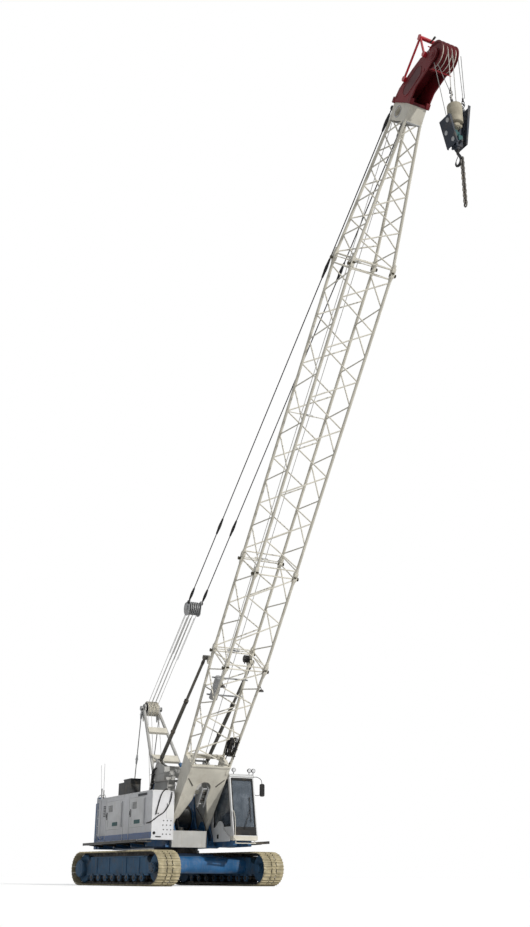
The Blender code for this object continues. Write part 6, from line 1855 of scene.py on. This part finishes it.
    @staticmethod
    def build_drums() -> None:
        """Make the rope laid on both winches, and their flanges' rims."""
        for name, body, x in (("front", Body.WINCH_FRONT, -0.22), ("rear", Body.WINCH_REAR, -1.30)):
            rope, rims = forms(2, GROUND_PLACE)
            profile = [(-0.456, 0.272)]
            for i in range(38):
                y = -0.444 + 0.024 * i
                profile += [(y - 0.009, 0.284), (y, 0.294), (y + 0.009, 0.284), (y + 0.012, 0.279)]
            rope.lathe(profile + [(0.456, 0.272)], (x, 0, 2.02), sides=30)
            for sign in SIDES:
                rims.lathe([(0.440, 0.400), (0.440, 0.4235), (0.4865, 0.4235), (0.4865, 0.400)], (x, 0, 2.02),
                           (0, sign, 0), 40, closed=True)
            rope.done(f"winch_{name}_rope", body, ROPE)
            rims.done(f"winch_{name}_rims", body, BLUE, bevel=0.002)


def cab_face() -> Matrix:
    """Return the cab front's place: +X out of the leaning face, +Z up along it."""
    (x, z), (run, rise) = CAB_TOE, CAB_LEAN
    return Matrix.Translation(up(x, 0, z)) @ Matrix.Rotation(-math.atan2(run, rise), 4, "Y")


@dataclass
class Cab(Group):
    """The cab's seals, wiper, mirror, lamps, steps, controls and padded seat."""

    right: float = 0.72
    left: float = 1.56
    middle: float = 1.14

    def build(self) -> None:
        """Make the cab's pieces."""
        self.build_seals()
        self.build_outside()
        self.build_fittings()
        self.build_inside()
        self.build_seat()

    @staticmethod
    def side(rear: float, low: float, high: float, inset: float) -> list[Point]:
        """Return a side outline with the cab's leaning front edge."""
        (toe, foot), (run, rise) = CAB_TOE, CAB_LEAN
        front = [(toe - run * (z - foot) / rise - inset, z) for z in (low, high)]
        return [(rear, low), *front, (rear, high)]

    def build_seals(self) -> None:
        """Make the rubber seals of the four panes and the dark band under the front one."""
        front = Form(cab_face())
        front.frame(rounded((0.768, 0.236), (1.512, 1.697), 0.05),
                    rounded((0.800, 0.268), (1.480, 1.665), 0.04), -0.024, 0.004, Axis.X)
        front.frame(rounded((0.752, 0.180), (1.528, 1.742), 0.06),
                    rounded((0.790, 0.262), (1.490, 1.675), 0.045), 0.0, 0.006, Axis.X)
        front.box((0.000, 0.006), (0.76, 1.52), (0.02, 0.19), 0.01)
        front.done("front_seal", Body.UPPER, SEAL)
        walls = Form(GROUND_PLACE)
        walls.frame(self.side(1.268, 1.694, 3.086, 0.100), self.side(1.302, 1.728, 3.052, 0.134),
                    0.716, 0.744)
        walls.frame(rounded((0.812, 2.192), (1.468, 3.078), 0.05),
                    rounded((0.842, 2.222), (1.438, 3.048), 0.04), 1.146, 1.172, Axis.X)
        walls.done("wall_seals", Body.UPPER, SEAL)
        door = Form(GROUND_PLACE)
        door.frame(self.side(1.522, 1.862, 3.036, 0.168), self.side(1.556, 1.896, 3.002, 0.202), 1.534, 1.564)
        door.box((2.36, 2.42), (1.556, 1.585), (1.70, 1.80), 0.012)
        door.done("door_seal", Body.CAB_DOOR, SEAL)

    def build_outside(self) -> None:
        """Make the front's round corners, roof rim, skirt, step and rails."""
        front = Form(cab_face())
        for y in (self.right + 0.024, self.left - 0.024):
            front.rod((-0.012, y, 0.01), (-0.012, y, 1.775), 0.026, 16)
        front.done("cab_corners", Body.UPPER, WHITE, bevel=0.001)
        shell, cream, dark = forms(3, GROUND_PLACE)
        skirt = [(1.34, 1.27), (2.48, 1.27), (2.50, 1.40), (2.30, 1.48), (2.08, 1.62)]
        skirt += circle(0.27, 8, (1.80, 1.60), 40, 100) + [(1.40, 1.66), (1.34, 1.50)]
        shell.plate(skirt, 0.674, 0.712)
        rim = [(1.16, 3.165), (2.385, 3.165), (2.392, 3.185), (2.300, 3.262), (1.20, 3.262), (1.155, 3.21)]
        shell.prism(rim, self.right - 0.004, self.right + 0.018)
        shell.prism(rim, self.left - 0.018, self.left + 0.004)
        shell.box((1.45, 2.05), (0.90, 1.38), (3.249, 3.275), 0.008)
        shell.done("cab_shell_trim", Body.UPPER, WHITE, bevel=0.004)
        cream.box((2.50, 2.70), (0.78, 1.50), (1.285, 1.335), 0.015)
        cream.box((2.62, 2.70), (0.80, 1.48), (1.20, 1.225), 0.006)
        for y in (0.82, 1.46):
            cream.box((2.64, 2.66), about(y, 0.01), (1.21, 1.31))
        cream.done("cab_step", Body.UPPER, CREAM, bevel=0.003)
        dark.box((1.62, 1.74), (0.668, 0.676), (1.36, 1.48), 0.01)
        for x, y in product((1.30, 2.40), (0.86, 1.36)):
            dark.lathe([(0.0, 0.055), (0.02, 0.06), (0.028, 0.05)], (x, y, 1.262), UPWARD, 14)
        dark.done("cab_mounts", Body.UPPER, SEAL)
        self.hoses("cab_handrails", 0.011, (
            [(2.68, 0.755, 1.34), (2.74, 0.755, 1.40), (2.72, 0.755, 1.9), (2.60, 0.755, 2.15)],
            [(1.22, 1.555, 1.50), (1.22, 1.63, 1.56), (1.22, 1.63, 2.2), (1.22, 1.555, 2.26)]),
            finish=CREAM, steps=4)

    def build_fittings(self) -> None:
        """Make the wiper, the mirror and the roof lamps."""
        dark, face = Form(GROUND_PLACE), Form(cab_face())
        face.rod((0.012, 1.12, 0.22), (0.030, 1.12, 0.22), 0.022, 12)
        arm = ((0.030, 1.12, 0.22), (0.034, 1.30, 0.66), (0.030, 1.36, 0.80))
        face.path([Vector(point) for point in arm], 0.009, 8)
        face.box((0.008, 0.026), (1.352, 1.368), (0.42, 1.16), 0.004)
        face.done("front_wiper", Body.UPPER, SEAL)
        dark.prism(rounded((1.76, 2.60), (1.92, 2.98), 0.05), 2.36, 2.40, Axis.X)
        upper_arm = [(2.28, 1.55, 3.16), (2.34, 1.66, 3.18), (2.38, 1.80, 3.10), (2.38, 1.84, 2.96)]
        dark.path(smooth_path(upper_arm, 4), 0.010, 8)
        dark.path(smooth_path([(2.36, 1.55, 2.66), (2.40, 1.66, 2.62), (2.38, 1.80, 2.66)], 4), 0.009, 8)
        lamps = Form(GROUND_PLACE)
        shell = [(-0.055, 0.030), (-0.045, 0.050), (0.0, 0.064), (0.030, 0.066), (0.032, 0.056)]
        for y in (0.90, 1.44, 1.58):
            dark.rod((2.26, y, 3.22), (2.26, y, 3.37 - 0.05), 0.011, 8)
            dark.lathe(shell, (2.26, y, 3.37), (1, 0, -0.12), 20)
            lamps.lathe([(0.026, 0.058), (0.036, 0.050), (0.040, 0.02)], (2.26, y, 3.37), (1, 0, -0.12), 20)
        dark.done("mirror_and_lamps", Body.UPPER, SEAL, bevel=0.002)
        lamps.box((2.355, 2.361), (1.775, 1.905), (2.62, 2.96))
        lamps.done("lamp_glass", Body.UPPER, LAMP)

    def build_inside(self) -> None:
        """Make the levers' knobs, pedals, screen, armrests and the floor mat."""
        dark = Form(GROUND_PLACE)
        for dy in (-0.14, 0.14):
            y, arm = self.middle + dy, self.middle + dy * 2.1
            dark.lathe([(-0.02, 0.015), (0.0, 0.026), (0.04, 0.030), (0.07, 0.020)], (2.12, y, 2.20),
                       (-0.1, 0, 1), 14)
            dark.lathe([(0.0, 0.045), (0.03, 0.040), (0.06, 0.020)], (2.19, y, 1.90), (-0.2, 0, 1), 14)
            dark.box((2.40, 2.50), about(y, 0.05), (1.44, 1.50), 0.01)
            dark.box((1.48, 1.86), about(arm, 0.03), (2.04, 2.09), 0.02)
            dark.rod((1.50, self.middle + dy * 1.9, 1.84), (1.50, arm, 2.06), 0.015, 8)
        dark.box((2.22, 2.26), (0.80, 1.00), (2.10, 2.28), 0.01)
        dark.rod((2.24, 0.88, 1.44), (2.24, 0.88, 2.12), 0.014, 8)
        dark.box((1.22, 2.55), (0.78, 1.50), (1.4205, 1.430))
        dark.done("cab_controls", Body.UPPER, BLACK, bevel=0.002)

    def build_seat(self) -> None:
        """Make the seat's frame and its swollen pads."""
        frame = Form(GROUND_PLACE)
        frame.lathe([(0.0, 0.20), (0.02, 0.20), (0.04, 0.12), (0.10, 0.10), (0.22, 0.13), (0.26, 0.16)],
                    (1.62, self.middle, 1.421), UPWARD, 24)
        frame.box((1.40, 1.86), about(self.middle, 0.22), (1.68, 1.72), 0.012)
        frame.prism([(1.40, 1.71), (1.46, 1.71), (1.375, 2.50), (1.335, 2.50)], *about(self.middle, 0.20))
        for y in about(self.middle, 0.06):
            frame.rod((1.36, y, 2.46), (1.335, y, 2.66), 0.010, 8)
        frame.done("seat_frame", Body.UPPER, BLACK, ("seat",), bevel=0.004)
        pads = (("base", (0.46, 0.46, 0.085), (1.64, 1.765), 0.0),
                ("back", (0.085, 0.42, 0.64), (1.465, 2.14), -6.5),
                ("head", (0.07, 0.26, 0.16), (1.375, 2.66), -6.5))
        for name, size, (x, z), lean in pads:
            turn = Matrix.Rotation(math.radians(lean), 4, "Y")
            self.build_pad(f"seat_{name}_pad", size, Matrix.Translation(up(x, self.middle, z)) @ turn)

    @staticmethod
    def build_pad(name: str, size: tuple[float, float, float], place: Matrix) -> None:
        """Swell a flat block into a padded cushion with a cloth simulation.

        Args:
            name: The pad's name.
            size: Its length, width and height before it swells.
            place: Its place in the row frame.
        """
        form = Form()
        x, y, z = (length / 2 for length in size)
        form.prism(rounded((-x, -z), (x, z), min(x, z) * 0.8, 4), -y, y)
        pad = stand(name, form.plain(name))
        grid = pad.modifiers.new("grid", "REMESH")
        grid.mode = "VOXEL"
        grid.voxel_size = 0.010
        pad.data = data = evaluated(pad)
        rest = [vertex.co.copy() for vertex in data.vertices]
        cloth = pad.modifiers.new("swell", "CLOTH")
        cloth.settings.use_pressure = True
        cloth.settings.uniform_pressure_force = 4.0
        cloth.settings.effector_weights.gravity = 0.0
        for moment in range(1, 15):
            bpy.context.scene.frame_set(moment)
        swollen = evaluated(pad)
        for vertex, start in zip(swollen.vertices, rest):
            away = vertex.co - start
            vertex.co = start + away * min(1.0, 0.022 / max(away.length, 1e-6))
        pad.data = data = swollen
        bpy.data.objects.remove(pad)
        data.transform(place)
        piece = settle(name, data, Body.UPPER, FABRIC)
        data.shade_smooth()


@dataclass
class Chassis(Group):
    """The carbody's flanges, hoses and plates, and the side frames' skins."""

    def build(self) -> None:
        """Make the pieces between the tracks."""
        blue, pale, dark = forms(3, UNDER_PLACE)
        for sign in SIDES:
            y = sign * 1.875
            for edge in SIDES:
                blue.box((-1.74, 1.74), span(y + edge * 0.196, y + edge * 0.206), (0.305, 0.835), 0.03)
            dark.box((-1.70, 1.70), about(y, 0.12), (0.835, 0.872), 0.01)
        for x, sign in product((-1.06, 1.06), SIDES):
            blue.box(about(x, 0.34), pair(sign, 1.60, 1.672), (0.34, 0.86), 0.05)
            blue.box(about(x, 0.30), pair(sign, 0.86, 0.90), (0.36, 0.88), 0.04)
        for edge in SIDES:
            for y in (-0.62, 0.62):
                blue.box(pair(edge, 1.318, 1.352), about(y, 0.03), (0.44, 0.80), 0.004)
            # Painted highlight: lighter blue plates on the carbody's ends, for their sunlit lower part.
            pale.plate(rounded((-0.52, 0.385), (0.72, 0.70), 0.05), edge * 1.319, edge * 1.333, Axis.X)
            blue.box(pair(edge, 0.9, 1.30), (-0.70, 0.70), (0.838, 0.856), 0.004)
        blue.done("chassis_plates", Body.UNDERCARRIAGE, BLUE_DUSTY, bevel=0.003)
        pale.done("chassis_front_plate", Body.UNDERCARRIAGE, BLUE_HIGHLIGHT, bevel=0.003)
        dark.lathe([(0.0, 0.10), (0.05, 0.10), (0.07, 0.07)], (1.33, -0.62, 0.52), FORWARD, 18)
        dark.lathe([(0.0, 0.06), (0.04, 0.06), (0.05, 0.04)], (1.33, 0.30, 0.54), FORWARD, 16)
        dark.done("chassis_dark_parts", Body.UNDERCARRIAGE, DARK, bevel=0.002)
        bolts = [((edge * 1.334, y, z), facing(edge, 0, 0)) for edge in SIDES for z in (0.42, 0.665)
                 for y in (-0.46, -0.16, 0.14, 0.40, 0.66)]
        self.grower.repeat("chassis_bolts", bolt_head(0.016, 0.012), bolts, Body.UNDERCARRIAGE, DARK,
                           UNDER_PLACE)
        self.hoses("chassis_hoses", 0.016, (
            [(1.34, 0.50, 0.78), (1.40, 0.70, 0.70), (1.38, 1.0, 0.66), (1.30, 1.45, 0.70),
             (1.20, 1.64, 0.66)],
            [(1.34, -0.50, 0.78), (1.41, -0.80, 0.60), (1.36, -1.2, 0.62), (1.22, -1.62, 0.60)],
            [(1.35, 0.30, 0.74), (1.42, 0.10, 0.72), (1.40, -0.2, 0.74), (1.34, -0.40, 0.78)]),
            Body.UNDERCARRIAGE, UNDER_PLACE)


def dress_nodes(frame: dict) -> None:
    """Give the model's own solids their finishes."""
    table = (
        (BLUE, "carbody revolving_frame"),
        (BLUE_DUSTY, "track_frame_right track_frame_left"),
        (SLAB_BLUE, "counterweight"),
        (HOUSE, "house_right house_left"),
        (WHITE, "door_right_front door_right_rear door_left engine_hood cab_front cab_right cab_left "
                "cab_rear cab_roof cab_door"),
        (CREAM, "cab_floor boom_base boom_insert_short boom_insert_long boom_top"),
        (TOWER, "front_box backstop_tower gantry_frame"),
        (TUBE, "backstop_tube_right backstop_tube_left backstop_rod_right backstop_rod_left"),
        (GREY, "gantry_sheaves bridle"),
        (DARK, "slew_ring winch_front winch_rear engine_block catwalk_right catwalk_left hook_block"),
        (ROOF_DARK, "roof_box"),
        (BLACK, "console pendant_right pendant_left hook"),
        # The head's red in a shaded and a sunlit copy: painted shade and painted highlight.
        (RED_SHADED, "boom_head head_sheaves"),
        (RED_SUNLIT, "head_strut"),
        (ROPE, "gantry_ties chain"),
        (PALE_ROPE, "hoist_falls"),
        (FABRIC, "seat"),
        (GLASS, "glass_front glass_right glass_rear glass_door"),
    )
    for finish, name in ((finish, name) for finish, names in table for name in names.split()):
        data = frame["nodes"][name].data
        data.materials.clear()
        data.materials.append(finish.build())


def main() -> None:
    """Build the crane's dress from the ground up."""
    logging.basicConfig(level=logging.INFO, format="%(name)s %(message)s")
    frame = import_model()
    Stage().build()
    dress_nodes(frame)
    grower = Grower()
    for side, sign in (("right", -1), ("left", 1)):
        Track(grower, side, sign).build()
    for group in (Boom, Stays, Superstructure, BoomTrim, Head, HookGroup, House, Cab, Chassis):
        group(grower).build()


if __name__ == "__main__":
    main()
